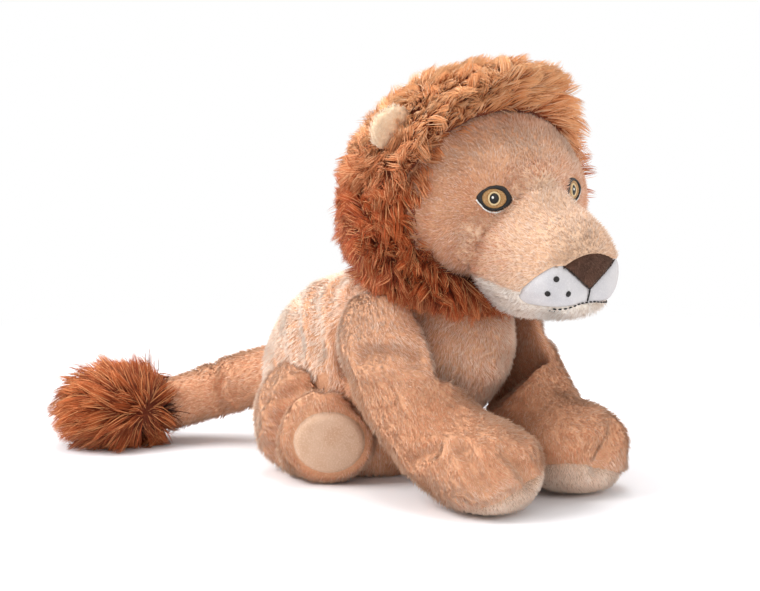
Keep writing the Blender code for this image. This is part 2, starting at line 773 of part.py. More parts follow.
def ruff_room():
    # A broad cone under the mane, which lets the head nod and turn over the shoulders
    rise = RUFF_REACH * math.tan(RUFF_RISE)
    turn = Matrix.Rotation(RUFF_TILT, 3, "X")
    axis = turn @ Vector((0, 0, 1))
    lowest = drum("ruff_room", neck_point() - axis * (RUFF_REACH - rise) / 2, axis,
                  RUFF_REACH, RUFF_REACH + rise)
    dish = drum("ruff_dish", neck_point() + axis * rise / 2, axis, GAP, rise, end_radius=RUFF_REACH)
    cut(lowest, dish)
    return lowest


# Ears
def ear_frame(sign):
    up = Vector((sign * math.sin(EAR_LEAN), 0, math.cos(EAR_LEAN)))
    face = Vector((sign * math.sin(EAR_TURN), -math.cos(EAR_TURN), 0))
    side = up.cross(face).normalized()
    return up, side, side.cross(up).normalized()


def ear_form(name, sign, room, flop, collection, finish=None):
    up, side, thick = ear_frame(sign)
    slices = []
    for height, width, thickness in EAR_SHARES:
        middle = ear_root(sign) + up * EAR_HEIGHT * height
        swing = math.tan(flop) * EAR_HEIGHT * max(height, 0)
        slices.append(Slice(middle, side, thick, EAR_HALF_WIDTH * width + room,
                            EAR_HALF_THICKNESS * thickness + room + swing))
    return loft(name, slices, THIN_RING, room, collection, finish)


mane = mane_form("mane", 0, PARTS, MANE_PILE)
cut(mane, HEAD_CLEAR, MUZZLE_CLEAR, face_front(), ruff_room(), NECK_SEAT)
hang(mane, neck_point())
SKULL_ROOM = head_form("skull_room", EAR_ROOM, CUTTERS)
for tag, sign in SIDES:
    cut(mane, ear_form("ear_pocket" + tag, sign, EAR_ROOM, EAR_FLOP, CUTTERS))
    ear = ear_form("ear" + tag, sign, 0, 0, PARTS, EAR_VELOUR)
    cut(ear, SKULL_ROOM)
    hang(ear, ear_root(sign))


# Forelegs
def foreleg_slices(sign):
    path = []
    half_sides = []
    half_rises = []
    for reach, height, shift, width, thick in FORELEG_SHARES:
        path.append((sign * (FORELEG_X + SHOULDER_SHIFT * shift), -FORELEG_REACH * reach,
                     FORELEG_TOP_Z * height))
        half_sides.append(FORELEG_HALF_WIDTH * width)
        half_rises.append(FORELEG_HALF_HEIGHT * thick)
    return upright_slices(path, half_sides, half_rises)


def foreleg_form(name, sign, grow, collection, finish=None, ring=SLIM_RING):
    return loft(name, foreleg_slices(sign), ring, grow, collection, finish)


def sole_block(name, below, clear):
    # What lies below the foot's sole seam, or above it
    low_z = -CUTTER_REACH if below else clear
    high_z = -clear if below else CUTTER_REACH
    turn = Matrix.Rotation(-SOLE_TOE_RISE, 3, "X")
    return block(name, (-CUTTER_REACH, SOLE_HEEL_Y - CUTTER_REACH, low_z),
                 (CUTTER_REACH, SOLE_HEEL_Y + CUTTER_REACH, high_z), turn, (0, SOLE_HEEL_Y, 0))


def chest_room(name, sign, clear):
    # The space that the chest keeps between the forelegs, round about the shoulder's axis
    depth = SHOULDER_X - GAP + clear
    return drum(name, (sign * depth / 2, SHOULDER_Y, SHOULDER_Z), (sign, 0, 0),
                CHEST_MID_RADIUS + clear, depth, end_radius=CHEST_RADIUS + clear)


for tag, sign in SIDES:
    name = "foreleg" + tag
    inner = foreleg_form(name + "_inner", sign, -SKIN, CUTTERS)
    cut(inner, INNER_ROOM, chest_room(name + "_inner_room", sign, GAP + SKIN), INNER_FLOOR)
    skin = foreleg_form(name + "_skin", sign, 0, PARTS, PLUSH)
    cut(skin, inner, SKIN_ROOM, chest_room(name + "_skin_room", sign, GAP), FLOOR)
    keep(skin, sole_block(name + "_over_sole", False, HALF_GAP))
    stuffing = foreleg_form(name + "_stuffing", sign, -SKIN - LINING, PARTS, FIBREFILL, THIN_RING)
    cut(stuffing, STUFFING_ROOM, chest_room(name + "_stuffing_room", sign, GAP + SKIN + LINING))
    sole = foreleg_form("forepaw" + tag + "_sole", sign, 0, PARTS, SOLE_VELOUR)
    cut(sole, inner, FLOOR)
    keep(sole, sole_block(name + "_sole_side", True, HALF_GAP))
    for piece in (skin, stuffing, sole):
        hang(piece, shoulder_point(sign))


# Hind legs
def foot_facing(sign):
    level = math.cos(FOOT_DOWN)
    return Vector((sign * math.sin(FOOT_OUT) * level, -math.cos(FOOT_OUT) * level,
                   -math.sin(FOOT_DOWN)))


def hindleg_form(name, sign, grow, collection, finish=None, ring=SLIM_RING):
    hip = hip_point(sign)
    foot = Vector((sign * FOOT_X, FOOT_Y, FOOT_Z))
    path = []
    for share, _, _ in HINDLEG_SHARES:
        point = hip.lerp(foot, share)
        point.x = hip.x + (foot.x - hip.x) * share * abs(share)
        path.append(point)
    half_sides = [HINDLEG_HALF_WIDTH * width for _, width, _ in HINDLEG_SHARES]
    half_rises = [HINDLEG_HALF_HEIGHT * height for _, _, height in HINDLEG_SHARES]
    slices = upright_slices(path, half_sides, half_rises, foot_facing(sign))
    return loft(name, slices, ring, grow, collection, finish)


def hindsole_block(name, sign, beyond, clear):
    # What lies beyond the seam round the hind foot's sole, or behind it
    facing = foot_facing(sign)
    turn = facing.to_track_quat("Z", "Y").to_matrix()
    foot = Vector((sign * FOOT_X, FOOT_Y, FOOT_Z)) - facing * HINDSOLE_DEPTH
    low_z = clear if beyond else -CUTTER_REACH
    high_z = CUTTER_REACH if beyond else -clear
    low = (foot.x - CUTTER_REACH, foot.y - CUTTER_REACH, foot.z + low_z)
    high = (foot.x + CUTTER_REACH, foot.y + CUTTER_REACH, foot.z + high_z)
    return block(name, low, high, turn, foot)


for tag, sign in SIDES:
    name = "hindleg" + tag
    inner = hindleg_form(name + "_inner", sign, -SKIN, CUTTERS)
    cut(inner, INNER_ROOM, INNER_FLOOR)
    skin = hindleg_form(name + "_skin", sign, 0, PARTS, PLUSH)
    cut(skin, inner, SKIN_ROOM, FLOOR)
    keep(skin, hindsole_block(name + "_behind_sole", sign, False, HALF_GAP))
    stuffing = hindleg_form(name + "_stuffing", sign, -SKIN - LINING, PARTS, FIBREFILL, THIN_RING)
    cut(stuffing, STUFFING_ROOM)
    sole = hindleg_form("hindpaw" + tag + "_sole", sign, 0, PARTS, SOLE_VELOUR)
    cut(sole, inner, SKIN_ROOM, FLOOR)
    keep(sole, hindsole_block(name + "_sole_side", sign, True, HALF_GAP))
    for piece in (skin, stuffing, sole):
        hang(piece, hip_hinge(sign))


# Tail
def tail_point(side, back, drop):
    return Vector((-TAIL_SIDE * side, TAIL_Y + TAIL_LENGTH_Y * back, TAIL_Z - TAIL_DROP * drop))


def tail_form(name, grow, collection, finish=None):
    path = [tail_point(side, back, drop) for side, back, drop, _ in TAIL_SHARES]
    radii = [TAIL_ROOT_RADIUS * share for _, _, _, share in TAIL_SHARES]
    return loft(name, upright_slices(path, radii, radii), THIN_RING, grow, collection, finish)


def tuft_form(name, collection, finish=None):
    end = tail_point(1, 1, 1)
    way = Vector((-math.sin(TUFT_OUT), math.cos(TUFT_OUT), 0))
    path = []
    for share, _ in TUFT_SHARES:
        point = end + way * TUFT_LENGTH * share
        path.append((point.x, point.y, TUFT_Z))
    widths = [TUFT_HALF_WIDTH * share for _, share in TUFT_SHARES]
    heights = [TUFT_HALF_HEIGHT * share for _, share in TUFT_SHARES]
    return loft(name, upright_slices(path, widths, heights), WIDE_RING, 0, collection, finish)


TAIL_CLEAR = tail_form("tail_clear", GAP, CUTTERS)
tail_skin = tail_form("tail_skin", 0, PARTS, PLUSH)
cut(tail_skin, tail_form("tail_inner", -SKIN, CUTTERS), SKIN_ROOM, FLOOR)
tail_stuffing = tail_form("tail_stuffing", -SKIN - LINING, PARTS, FIBREFILL)
cut(tail_stuffing, SKIN_ROOM)
tail_tuft = tuft_form("tail_tuft", PARTS, MANE_PILE)
cut(tail_tuft, TAIL_CLEAR, FLOOR)
for piece in (tail_skin, tail_stuffing, tail_tuft):
    hang(piece, tail_root())
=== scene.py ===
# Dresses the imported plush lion: stuffed fabric forms, sewn face panels, and pile made of closed strands.
# Metres, +Z up. The lion looks along -Y, its left side is +X, and the floor is Z = 0.

import math

import bmesh
import bpy
import numpy as np
from mathutils import Matrix, Vector, kdtree
from mathutils.bvhtree import BVHTree


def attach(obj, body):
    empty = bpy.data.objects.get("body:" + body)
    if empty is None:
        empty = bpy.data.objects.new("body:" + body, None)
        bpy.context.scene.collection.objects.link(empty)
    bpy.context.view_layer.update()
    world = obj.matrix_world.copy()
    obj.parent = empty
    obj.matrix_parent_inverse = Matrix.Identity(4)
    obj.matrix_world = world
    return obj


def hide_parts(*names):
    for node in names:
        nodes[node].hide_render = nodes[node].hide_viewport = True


print("lion: loading the packed frame")
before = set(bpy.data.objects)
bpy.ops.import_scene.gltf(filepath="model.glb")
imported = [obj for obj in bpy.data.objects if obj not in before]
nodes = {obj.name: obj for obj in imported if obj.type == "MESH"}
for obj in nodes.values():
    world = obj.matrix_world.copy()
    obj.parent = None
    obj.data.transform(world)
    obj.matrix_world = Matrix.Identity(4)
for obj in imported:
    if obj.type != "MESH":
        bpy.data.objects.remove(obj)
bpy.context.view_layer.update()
sides = {"left": 1, "right": -1}
floorGap = 0.0005       # nothing hangs lower than this over the floor


# Points and triangles as arrays, until they become a piece
class Form:
    def __init__(self, points, corners):
        self.points = np.asarray(points, float)
        self.corners = np.asarray(corners, np.int64)
        self.found = None
        self.reach = 1.0        # how deep under it a point still counts as inside

    def faceNormals(self):
        a, b, c = (self.points[self.corners[:, i]] for i in range(3))
        return np.cross(b - a, c - a) / 2

    def normals(self):
        across = self.faceNormals()
        total = np.zeros_like(self.points)
        for i in range(3):
            for axis in range(3):
                total[:, axis] += np.bincount(self.corners[:, i], across[:, axis], len(total))
        return unit(total)

    def edges(self):
        return np.unique(np.sort(rimsOf(self.corners), 1), axis=0)

    def aroundEach(self):
        pairs = self.edges()
        return pairs, np.maximum(np.bincount(pairs.ravel(), minlength=len(self.points)), 1)

    def spread(self, values, pairs, count):
        # The mean of each point's neighbours
        total = np.zeros_like(values)
        for axis in range(values.shape[1]):
            total[:, axis] = (np.bincount(pairs[:, 0], values[pairs[:, 1], axis], len(values))
                              + np.bincount(pairs[:, 1], values[pairs[:, 0], axis], len(values)))
        return total / count[:, None]

    def smooth(self, passes, ease=0.5, regain=0.53):
        # Each pass evens the surface out, then gives back the size that it lost
        pairs, count = self.aroundEach()
        for _ in range(passes):
            self.points += ease * (self.spread(self.points, pairs, count) - self.points)
            self.points -= regain * (self.spread(self.points, pairs, count) - self.points)
        self.found = None
        return self

    def swell(self, amount):
        self.points += self.normals() * np.reshape(amount, (-1, 1) if np.ndim(amount) else (1, 1))
        self.found = None
        return self

    def biggest(self):
        # Only the largest connected skin
        label = np.arange(len(self.points))
        pairs = self.edges()
        while True:
            low = np.minimum(label[pairs[:, 0]], label[pairs[:, 1]])
            fresh = label.copy()
            np.minimum.at(fresh, pairs[:, 0], low)
            np.minimum.at(fresh, pairs[:, 1], low)
            fresh = fresh[fresh]
            if (fresh == label).all():
                break
            label = fresh
        names, sizes = np.unique(label, return_counts=True)
        return self.only(label[self.corners[:, 0]] == names[sizes.argmax()])

    def only(self, chosen):
        used, corners = np.unique(self.corners[chosen], return_inverse=True)
        return Form(self.points[used], corners.reshape(-1, 3))

    def tree(self):
        if self.found is None:
            self.found = BVHTree.FromPolygons(self.points.tolist(), self.corners.tolist())
        return self.found

    def centres(self):
        return self.points[self.corners].mean(1)


def rimsOf(corners):
    return np.concatenate([corners[:, [0, 1]], corners[:, [1, 2]], corners[:, [2, 0]]])


def finderOf(points):
    finder = kdtree.KDTree(len(points))
    for index, point in enumerate(points):
        finder.insert(point, index)
    finder.balance()
    return finder


def placed(name, data):
    thing = bpy.data.objects.new(name, data)
    bpy.context.scene.collection.objects.link(thing)
    return thing


def unit(vectors):
    return vectors / np.maximum(np.linalg.norm(vectors, axis=-1, keepdims=True), 1e-12)


def ease(low, high, values):
    share = np.clip((values - low) / (high - low), 0, 1)
    return share * share * (3 - 2 * share)


def wander(points, size, seed):
    # A smooth field of small turns with swirls of about one size
    draw = np.random.default_rng(seed)
    field = np.zeros_like(points)
    for _ in range(9):
        way = unit(draw.normal(size=3)) * 2 * math.pi / (size * draw.uniform(0.7, 1.6))
        field += np.sin(points @ way + draw.uniform(0, 6.28))[:, None] * draw.normal(size=3)
    return field / 3


def formOf(mesh):
    mesh.calc_loop_triangles()
    points = np.empty(len(mesh.vertices) * 3)
    mesh.vertices.foreach_get("co", points)
    corners = np.empty(len(mesh.loop_triangles) * 3, np.int32)
    mesh.loop_triangles.foreach_get("vertices", corners)
    return Form(points.reshape(-1, 3), corners.reshape(-1, 3))


def remeshed(mesh, voxel):
    # The outer surface of a mesh in faces of one size; the mesh itself goes
    draft = placed("draft", mesh)
    remesh = draft.modifiers.new("skin", "REMESH")
    remesh.mode = "VOXEL"
    remesh.voxel_size = voxel
    bpy.context.view_layer.update()
    finished = bpy.data.meshes.new_from_object(draft.evaluated_get(bpy.context.evaluated_depsgraph_get()))
    bpy.data.objects.remove(draft)
    bpy.data.meshes.remove(mesh)
    return finished


def skinOf(names, voxel, passes):
    # The outer skin round some CAD nodes, as one smooth closed surface
    joined = bmesh.new()
    for name in names:
        joined.from_mesh(nodes[name].data)
    mesh = bpy.data.meshes.new("draft")
    joined.to_mesh(mesh)
    joined.free()
    finished = remeshed(mesh, voxel)
    form = formOf(finished).biggest().smooth(passes)
    bpy.data.meshes.remove(finished)
    return form


def meshOf(name, points, starts, loops):
    mesh = bpy.data.meshes.new(name)
    places = np.asarray(points, np.float32).ravel()
    mesh.vertices.add(len(places) // 3)
    mesh.vertices.foreach_set("co", places)
    mesh.loops.add(len(loops))
    mesh.loops.foreach_set("vertex_index", np.asarray(loops, np.int32))
    mesh.polygons.add(len(starts))
    mesh.polygons.foreach_set("loop_start", np.asarray(starts, np.int32))
    mesh.update(calc_edges=True)
    mesh.shade_smooth()
    return mesh


def closedMesh(name, form):
    mesh = meshOf(name, form.points, np.arange(len(form.corners)) * 3, form.corners.ravel())
    mesh.validate()
    return mesh


def addPiece(name, mesh, look, body, replaced=()):
    piece = placed(name, mesh)
    mesh.materials.append(looks[look])
    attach(piece, body)
    if replaced:
        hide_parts(*replaced)


def addForm(name, form, look, body, replaced=()):
    addPiece(name, closedMesh(name, form), look, body, replaced)


def addThread(name, shape, look, replaced):
    mesh = bpy.data.meshes.new(name)
    shape.to_mesh(mesh)
    shape.free()
    mesh.shade_smooth()
    addPiece(name, mesh, look, "head", replaced)


# One socket of a material, so that shader maths reads as plain expressions
class Wire:
    def __init__(self, tree, socket=None):
        self.tree = tree
        self.socket = socket

    def node(self, kind, settings=None, values=None, output=0):
        # Any node: its settings first, then the values or links of its sockets
        made = self.tree.nodes.new(kind)
        for key, value in (settings or {}).items():
            if key == "stops":
                setStops(made.color_ramp, value)
            else:
                setattr(made, key, value)
        for key, value in (values or {}).items():
            if isinstance(value, Wire):
                self.tree.links.new(value.socket, made.inputs[key])
            else:
                made.inputs[key].default_value = value
        return Wire(self.tree, made.outputs[output])

    def maths(self, operation, first, second=0.0):
        return self.node("ShaderNodeMath", {"operation": operation}, {0: first, 1: second})

    def __add__(self, other):
        return self.maths("ADD", self, other)

    def __radd__(self, other):
        return self.maths("ADD", other, self)

    def __sub__(self, other):
        return self.maths("SUBTRACT", self, other)

    def __rsub__(self, other):
        return self.maths("SUBTRACT", other, self)

    def __mul__(self, other):
        return self.maths("MULTIPLY", self, other)

    def __rmul__(self, other):
        return self.maths("MULTIPLY", other, self)

    def blend(self, first, second):
        # From the first colour to the second as this value goes from 0 to 1
        return self.node("ShaderNodeMix", {"data_type": "RGBA"}, {0: self, 6: first, 7: second}, 2)

    def noise(self, scale, detail=3.0, vector=None):
        values = {"Scale": scale, "Detail": detail}
        if vector is not None:
            values["Vector"] = vector
        return self.node("ShaderNodeTexNoise", None, values)

    def band(self, low, high):
        # 0 below low, 1 above high
        return self.node("ShaderNodeMapRange", {"interpolation_type": "SMOOTHSTEP"},
                         {0: self, 1: low, 2: high})


def setStops(ramp, stops):
    while len(ramp.elements) < len(stops):
        ramp.elements.new(0.5)
    for element, (place, colour) in zip(ramp.elements, stops):
        element.position = place
        element.color = colour


def paint(red, green, blue):
    # A colour as a picture shows it, from 0 to 255, as the light that it gives
    shares = [value / 255 for value in (red, green, blue)]
    return (*[s / 12.92 if s <= 0.04045 else ((s + 0.055) / 1.055) ** 2.4 for s in shares], 1.0)


def newMaterial(name, finish):
    # A Principled material with its constants, and a wire to build the rest from
    material = bpy.data.materials.new(name)
    material.use_nodes = True
    shader = material.node_tree.nodes["Principled BSDF"]
    for key, value in finish.items():
        shader.inputs[key].default_value = value
    return material, shader, Wire(material.node_tree)


softFinish = {"Roughness": 0.95, "Specular IOR Level": 0.12, "Sheen Weight": 0.18, "Sheen Roughness": 0.6,
              "Sheen Tint": (1.0, 0.80, 0.64, 1.0)}
maneFinish = {"Roughness": 0.7, "Specular IOR Level": 0.2, "Sheen Weight": 0.06, "Sheen Roughness": 0.5}


def attribute(wire, name):
    return wire.node("ShaderNodeAttribute", {"attribute_name": name}, output=2)


def pileMaterial(name, look, paleAndLit, finish):
    # Strands: dark at the root, a painted shade for the dim depth of the pile, pale at the tip, each with a
    # shade of its own, in soft patches
    material, shader, wire = newMaterial(name, finish)
    *colours, oddFrom, oddShare, patchScale, tipFrom = look
    root, tip, tipPatch, odd = (paint(*colour) for colour in colours)
    place = wire.node("ShaderNodeTexCoord", output=3)
    patches = wire.noise(patchScale, 2.0, place).band(0.36, 0.66)
    tip = patches.blend(tip, tipPatch)
    # Paler copies: the cream fabric's own colour, and painted light where the lit parts are made paler
    if paleAndLit:
        pale = attribute(wire, "pale")
        paleRoot, paleTip, palePatch, paleOdd = (paint(*colour) for colour in paleAndLit)
        tip = pale.blend(tip, patches.blend(paleTip, palePatch))
        root, odd = pale.blend(root, paleRoot), pale.blend(odd, paleOdd)
    strand = attribute(wire, "rise").band(0.0, tipFrom).blend(root, tip)
    colour = (attribute(wire, "tint").band(oddFrom, 1.0) * oddShare).blend(strand, odd)
    wire.tree.links.new(colour.socket, shader.inputs["Base Color"])
    return material


def grainy(wire, shader, colour, strength, depth, fine):
    # Links a colour, and a bump that follows its fine grain
    wire.tree.links.new(colour.socket, shader.inputs["Base Color"])
    bump = wire.node("ShaderNodeBump", None, {"Strength": strength, "Distance": depth, "Height": fine})
    wire.tree.links.new(bump.socket, shader.inputs["Normal"])


def clothMaterial(name, look):
    # The knitted backing or a short velour, with a fine nap
    material, shader, wire = newMaterial(name, softFinish)
    *colours, napShare, patchScale, grain, depth = look
    main, patch, nap = (paint(*colour) for colour in colours)
    place = wire.node("ShaderNodeTexCoord", output=3)
    patches = wire.noise(patchScale, 3.0, place).band(0.35, 0.68)
    fine = wire.noise(grain, 2.0, place)
    colour = (fine.band(0.45, 0.75) * napShare).blend(patches.blend(main, patch), nap)
    grainy(wire, shader, colour, 0.5, depth, fine)
    return material


def threadMaterial(name, colour, crest, roughness):
    # Embroidery thread: a satin line with paler crests
    material, shader, wire = newMaterial(name, {"Roughness": roughness, "Specular IOR Level": 0.35})
    fine = wire.noise(2600.0, 1.0, wire.node("ShaderNodeTexCoord", output=3))
    grainy(wire, shader, fine.band(0.5, 0.8).blend(paint(*colour), paint(*crest)), 0.4, 0.0002, fine)
    return material


print("lion: making the materials")
# Colours of the root (darker and warmer: painted shade deep in the pile), the tip, the tip in patches and the
# odd strands;
# the tint from which a strand is odd and how much; the patches' scale; how far up the tip's colour is reached
pileLooks = {
    "tanPile": [(212, 130, 92), (230, 178, 142), (224, 165, 127), (246, 218, 194), 0.55, 0.6, 30.0, 0.8],
    "headPile": [(206, 132, 96), (244, 195, 163), (228, 162, 125), (248, 222, 206), 0.5, 0.6, 60.0, 0.8],
    "earPile": [(238, 198, 158), (252, 232, 206), (248, 220, 188), (252, 234, 218), 0.5, 0.5, 45.0, 0.7],
    "palePile": [(206, 184, 166), (242, 234, 226), (230, 214, 200), (252, 248, 244), 0.5, 0.5, 60.0, 0.7],
    # The fore soles' pile is near white: partly its cream colour, partly painted light for the light the floor
    # throws up under the paws
    "solePile": [(238, 200, 176), (255, 230, 210), (250, 218, 196), (246, 234, 222), 0.5, 0.5, 80.0, 0.7],
    "manePile": [(116, 38, 14), (194, 92, 42), (172, 74, 30), (246, 178, 122), 0.55, 0.8, 42.0, 0.75],
    "tuftPile": [(96, 36, 16), (188, 98, 50), (164, 78, 38), (240, 168, 112), 0.55, 0.8, 60.0, 0.8],
    "nosePile": [(74, 48, 38), (116, 82, 66), (98, 68, 56), (150, 118, 100), 0.6, 0.5, 90.0, 0.9]}
# The same four colours, paler, where the pale attribute asks for them: the cream bridge's own colour, painted
# light on the lit top of the mane, the forehead and the torso, and a paler tone on parts of the legs
paleAndLitLooks = {
    "tanPile": [(240, 182, 144), (251, 230, 212), (247, 221, 200), (253, 240, 228)],
    "headPile": [(206, 158, 126), (230, 199, 177), (226, 191, 165), (252, 234, 218)],
    "manePile": [(190, 104, 58), (252, 184, 128), (248, 170, 112), (254, 214, 174)]}
# Colours of the cloth, its patches and its nap; the nap's share, the patches' scale, the grain and its depth
clothLooks = {
    "tanCloth": [(214, 160, 124), (204, 146, 110), (232, 188, 156), 0.5, 40.0, 900.0, 0.0006],
    "creamCloth": [(230, 190, 158), (222, 176, 142), (242, 210, 182), 0.5, 40.0, 900.0, 0.0006],
    "paleCloth": [(232, 222, 210), (214, 196, 178), (246, 240, 234), 0.5, 60.0, 900.0, 0.0005],
    "padVelour": [(202, 199, 200), (192, 190, 193), (216, 214, 215), 0.6, 90.0, 1500.0, 0.00035],
    "soleVelour": [(206, 172, 146), (196, 158, 130), (222, 192, 168), 0.6, 70.0, 1100.0, 0.0005],
    "earVelour": [(246, 220, 190), (238, 204, 168), (252, 236, 214), 0.6, 80.0, 1100.0, 0.0005],
    # The mane's backing is as dark as the mane's roots: painted shade where it shows between the strands
    "maneBacking": [(110, 46, 20), (84, 32, 14), (140, 66, 32), 0.5, 60.0, 900.0, 0.0008],
    "noseVelour": [(88, 58, 46), (74, 48, 38), (112, 80, 66), 0.6, 100.0, 1300.0, 0.0006]}
# Colours of the thread and its crests, and the roughness
threadLooks = {
    "blackThread": [(20, 17, 16), (58, 52, 50), 0.5],
    "whiteThread": [(240, 238, 232), (252, 252, 250), 0.5],
    "amberThread": [(166, 122, 72), (222, 184, 134), 0.45],
    "goldThread": [(226, 198, 150), (246, 226, 190), 0.45]}
looks = {}
for name, look in pileLooks.items():
    looks[name] = pileMaterial(name, look, paleAndLitLooks.get(name),
                               maneFinish if name in ("manePile", "tuftPile") else softFinish)
for name, look in clothLooks.items():
    looks[name] = clothMaterial(name, look)
for name, look in threadLooks.items():
    looks[name] = threadMaterial(name, *look)


def clearOf(points, others, margin):
    # Which points lie outside some other forms
    free = np.ones(len(points), bool)
    for other in others:
        low, high = other.points.min(0) - margin, other.points.max(0) + margin
        near = np.nonzero(((points > low) & (points < high)).all(1) & free)[0]
        tree, normals = other.tree(), other.normals()
        for index in near:
            place, _, face, gap = tree.find_nearest(Vector(points[index]))
            height = (points[index] - place) @ normals[other.corners[face]].sum(0)
            if gap < other.reach and height < margin * 3:
                free[index] = False
    return free


def pushOut(points, others, margin):
    # Lifts points that have gone into other forms back onto their surfaces
    for other in others:
        low, high = other.points.min(0), other.points.max(0)
        near = np.nonzero(((points > low) & (points < high)).all(1))[0]
        tree = other.tree()
        for index in near:
            point = Vector(points[index])
            place, normal, _, _ = tree.find_nearest(point)
            if (point - place).dot(normal) < margin:
                points[index] = place + normal * margin
    return points


def rootsOn(form, perArea, share, draw):
    # Where strands grow: places spread evenly over the form, thinned by the share at each place
    area = np.linalg.norm(form.faceNormals(), axis=1)
    count = int(area.sum() * perArea)
    chosen = draw.choice(len(area), count, p=area / area.sum())
    u, v = draw.random(count), draw.random(count)
    flip = u + v > 1
    u[flip], v[flip] = 1 - u[flip], 1 - v[flip]
    a, b, c = (form.points[form.corners[chosen, i]] for i in range(3))
    normals = form.normals()
    na, nb, nc = (normals[form.corners[chosen, i]] for i in range(3))
    w = (1 - u - v)[:, None]
    u, v = u[:, None], v[:, None]
    roots, normals = a * w + b * u + c * v, unit(na * w + nb * u + nc * v)
    if share:
        kept = draw.random(count) < share(roots)
        roots, normals = roots[kept], normals[kept]
    return roots, normals


def clumpTargets(roots, tips, clumps, draw):
    # For each strand, the tip of the clump that it belongs to
    heads = draw.choice(len(roots), max(1, min(clumps, len(roots))), replace=False)
    finder = finderOf(roots[heads])
    owner = np.array([finder.find(root)[1] for root in roots])
    return tips[heads[owner]], roots[heads[owner]]


pileRule = {"quickShare": 0.35, "quickWidth": 1.5, "clearAt": 0.3, "clearGap": 0.0004, "softEdge": 0.0012,
            "mostFaces": 190000}


def growPile(name, form, pile, look, body, comb, seed, share=None, lengthShare=None,
             away=(), over=(), pale=None):
    # Strands of pile on a form, made as closed three-sided spikes, in pieces of a handy size
    draw = np.random.default_rng(seed)
    density = pile["perArea"] * 1.0
    width = pile["width"] * 1.0
    roots, normals = rootsOn(form, density, share, draw)
    if away:
        free = clearOf(roots + normals * pile["length"] * pileRule["clearAt"], away, pileRule["clearGap"])
        roots, normals = roots[free], normals[free]
    count = len(roots)
    length = pile["length"] * draw.uniform(1 - pile["uneven"], 1 + pile["uneven"], count)
    if lengthShare is not None:
        length = length * lengthShare(roots)
    way = comb(roots, normals) + wander(roots, pile["swirl"], seed + 1) * pile["stray"]
    way += draw.normal(size=(count, 3)) * pile["stray"] * 0.5
    way = unit(way - normals * (way * normals).sum(1, keepdims=True))
    lift = np.radians(pile["lift"] + draw.normal(size=count) * pile["liftSpread"])[:, None]
    way = unit(way * np.cos(lift) + normals * np.sin(lift))
    rings = pile["rings"]
    steps = np.arange(rings + 1) / rings
    tips = roots + way * length[:, None]
    target, head = clumpTargets(roots, tips, int(count / pile["perClump"]), draw)
    pull = (target - tips + (roots - head) * pile["clumpSpread"]) * pile["clump"]
    sway = unit(np.cross(way, draw.normal(size=(count, 3)))) * length[:, None] * pile["curl"]
    start = roots - normals * pile["width"] * 0.6
    path = np.empty((count, rings + 1, 3))
    for index, step in enumerate(steps):
        path[:, index] = (start + way * length[:, None] * step + pull * step ** 1.6
                          + sway * math.sin(step * 2.6))
        path[:, index, 2] -= pile["sag"] * length * step ** 2
    if over:
        bent = path[:, 1:].reshape(-1, 3)
        path[:, 1:] = pushOut(bent, over, pile["width"]).reshape(count, rings, 3)
    path[:, :, 2] = np.maximum(path[:, :, 2], floorGap)
    paleness = pale(roots + draw.normal(size=(count, 3)) * pileRule["softEdge"]) if pale else np.zeros(count)
    makeStrands(name, path, normals, width, look, body, draw, pile["faceOut"], paleness)


def makeStrands(name, path, normals, width, look, body, draw, faceOut, pale):
    # Closed spikes along paths, as pieces of at most a set number of strands
    count, places = path.shape[:2]
    rings = places - 1
    strandFaces = 1 + 6 * (rings - 1) + 3
    most = pileRule["mostFaces"] // strandFaces
    tint = draw.random(count)
    order = np.argsort(path[:, 0] @ unit(np.array([0.3, 1.0, 0.2])), kind="stable")
    groups = max(1, math.ceil(count / most))
    for group in range(groups):
        chosen = order[group * count // groups:(group + 1) * count // groups]
        label = name if groups == 1 else f"{name}_{group + 1}"
        strandPiece(label, path[chosen], normals[chosen], tint[chosen], pale[chosen], width, look, body,
                    faceOut)
    print(f"lion: {name}, {count} strands")


